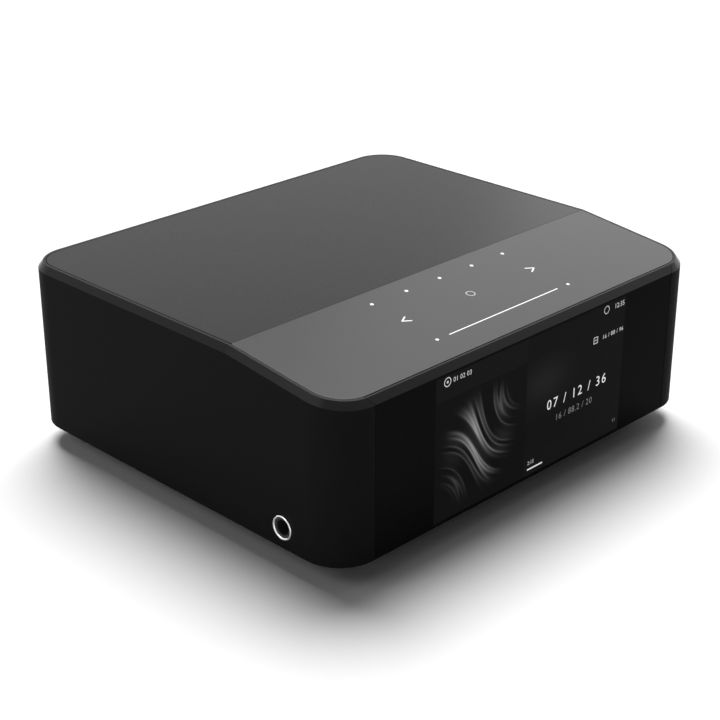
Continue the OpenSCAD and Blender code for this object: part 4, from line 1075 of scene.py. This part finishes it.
# %% Finish of each CAD part that still shows
node_finish = {
    black_plastic: [
        "top_carrier", "mains_inlet", "port_tongues", "optical_socket", "optical_shutter", "small_jacks",
        "phono_blocks", "xlr_inserts", "power_capacitors", "processor", "board_link",
    ],
    rubber: ["light_mask", "window_tape", "feet", "flat_cables"],
    socket_black: ["headphone_jacks"],
    plate_coat: ["mains_plate", "digital_plate", "output_plate"],
    panel_coat: ["base_plate"],
    zinc_screw: ["inner_screws", "mains_pins", "board_screws"],
    plated_sheet: ["display_bracket", "port_shells", "radio_module", "shutter_spring"],
    shielded: ["network_socket"],
    gold_plate: ["network_contacts", "phono_sleeves", "xlr_pins", "board_standoffs", "output_standoffs"],
    circuit_board: [
        "touch_board", "display_board", "power_board", "main_board", "output_board", "headphone_boards",
    ],
    copper_winding: ["transformer_winding", "power_choke", "aerials"],
    ivory_plastic: ["touch_leds", "touch_ribbon", "display_ribbon", "lcd_backlight", "cable_headers"],
    core_plastic: ["phono_cores"],
    ferrite: ["transformer_core"],
    polished_ring: ["headphone_rings"],
    anodised: ["processor_heatsink"],
    dark_zinc: ["xlr_shells"],
    smoked_glass: ["lcd_panel"],
}
for finish_of, names in node_finish.items():
    for name in names:
        cad_node[name].data.materials.clear()
        cad_node[name].data.materials.append(finish_of)
dressed = {name for names in node_finish.values() for name in names}
panes = {"housing", "top_panel", "touch_panel", "front_window"}
screws = {"rear_screws", "base_screws", "foot_screws"}
print("without a finish:", sorted(set(cad_node) - dressed - panes - screws))

# %% [markdown]
# ## Floor and surrounding
#
# The picture is a plain product shot on a white floor without a horizon. A brighter lamp would whiten the
# floor and wash out the black object with it. So the floor is a little lighter, and the surrounding much
# lighter, on rays that show them to the camera, straight or by a reflection, than on those that only
# carry light.

# %% Floor
floor_reach = 12.0
floor_lift = 1.17
floor_paint = finish("floor_paint", (0.93, 0.93, 0.93), 0.9, gloss=0.0, grain=3, vary=0.004, bump=0)
multiply_tone(floor_paint, (floor_lift, floor_lift, floor_lift, 1), seen_ray(floor_paint.node_tree))
floor_mesh = bpy.data.meshes.new("floor")
floor_corners = [(x, y, 0) for x, y in rectangle(-floor_reach, floor_reach, -floor_reach, floor_reach)]
floor_mesh.from_pydata(floor_corners, [], [(0, 1, 2, 3)])
floor_mesh.materials.append(floor_paint)
floor = bpy.data.objects.new("floor", floor_mesh)
bpy.context.scene.collection.objects.link(floor)
print("floor", 2 * floor_reach, "m wide")

# %% Surrounding
light_level, seen_level = 0.04, 1.0
world = bpy.data.worlds.new("studio")
bpy.context.scene.world = world
world.use_nodes = True
background = world.node_tree.nodes["Background"].inputs
levels = {"To_Min": light_level, "To_Max": seen_level}
level = add_node(world.node_tree, "MapRange", Value=seen_ray(world.node_tree), **levels)
feed(world.node_tree, (1, 1, 1, 1), background["Color"])
feed(world.node_tree, level.outputs["Result"], background["Strength"])
print("surrounding lights with", light_level)

# %% [markdown]
# ## Lamps
#
# One broad soft lamp stands high up behind the object. It leaves the two sides that face the camera dark
# and draws their soft shadow on the floor. Flat boxes of light do the rest: one at the right brightens
# the top by its reflection, a low one at the left lifts the side wall, and two weak ones draw the chamfer
# of the rim.

# %% Lamps


def way_to(azimuth, rise):
    """Direction from the object, in degrees: azimuth from the rear to the right, rise from the floor."""
    turn, up_by = math.radians(azimuth), math.radians(rise)
    return Vector((math.cos(up_by) * math.sin(turn), math.cos(up_by) * math.cos(turn), math.sin(up_by)))


def stand(name, data, azimuth, rise, away=0.0):
    """Puts a lamp at a distance in some direction, turned towards the object."""
    lamp = bpy.data.objects.new(name, data)
    lamp.location = way_to(azimuth, rise) * away
    lamp.rotation_mode = "QUATERNION"
    lamp.rotation_quaternion = way_to(azimuth, rise).to_track_quat("Z", "Y")
    bpy.context.scene.collection.objects.link(lamp)


def soft_box(name, energy, width, height, away, azimuth, rise):
    """A broad flat lamp, with its sizes and its distance in metres."""
    data = bpy.data.lights.new(name, "AREA")
    data.shape = "RECTANGLE"
    data.size, data.size_y = width, height
    data.energy = energy
    stand(name, data, azimuth, rise, away)


rear_lamp = bpy.data.lights.new("rear_lamp", "SUN")
rear_lamp.energy = 3.2
rear_lamp.angle = math.radians(40)
stand("rear_lamp", rear_lamp, azimuth=39, rise=61.4)
soft_box("side_box", 4.2, width=1.3, height=1.2, away=1.5, azimuth=78, rise=28)
soft_box("left_box", 4.5, width=1.6, height=0.2, away=1.4, azimuth=-94, rise=3)
soft_box("rim_left_box", 1.5, width=1.0, height=0.6, away=1.5, azimuth=-73, rise=40)
soft_box("rim_right_box", 0.5, width=1.0, height=0.6, away=1.5, azimuth=112, rise=20)
print("lamps:", len(bpy.data.lights))

# %% [markdown]
# ## Camera
#
# The camera stands in front of the left corner and looks down a little. Its place, direction and lens
# were solved from the straight edges of the body in the photograph, with the body at its true width, so
# the picture needs no shift.

# %% Camera
camera_data = bpy.data.cameras.new("camera")
camera_data.sensor_width = 36.0
camera_data.lens = 82.13
camera_data.clip_start, camera_data.clip_end = 0.01, 100
camera = bpy.data.objects.new("camera", camera_data)
camera.location = (-0.47208, -0.46536, 0.33310)
camera.rotation_mode = "QUATERNION"
camera.rotation_quaternion = way_to(225.253, 24.449).to_track_quat("Z", "Y")
bpy.context.scene.collection.objects.link(camera)
bpy.context.scene.camera = camera
bpy.context.scene.view_settings.view_transform = "Standard"
print("camera", round(camera.location.length, 3), "m from the middle of the foot")
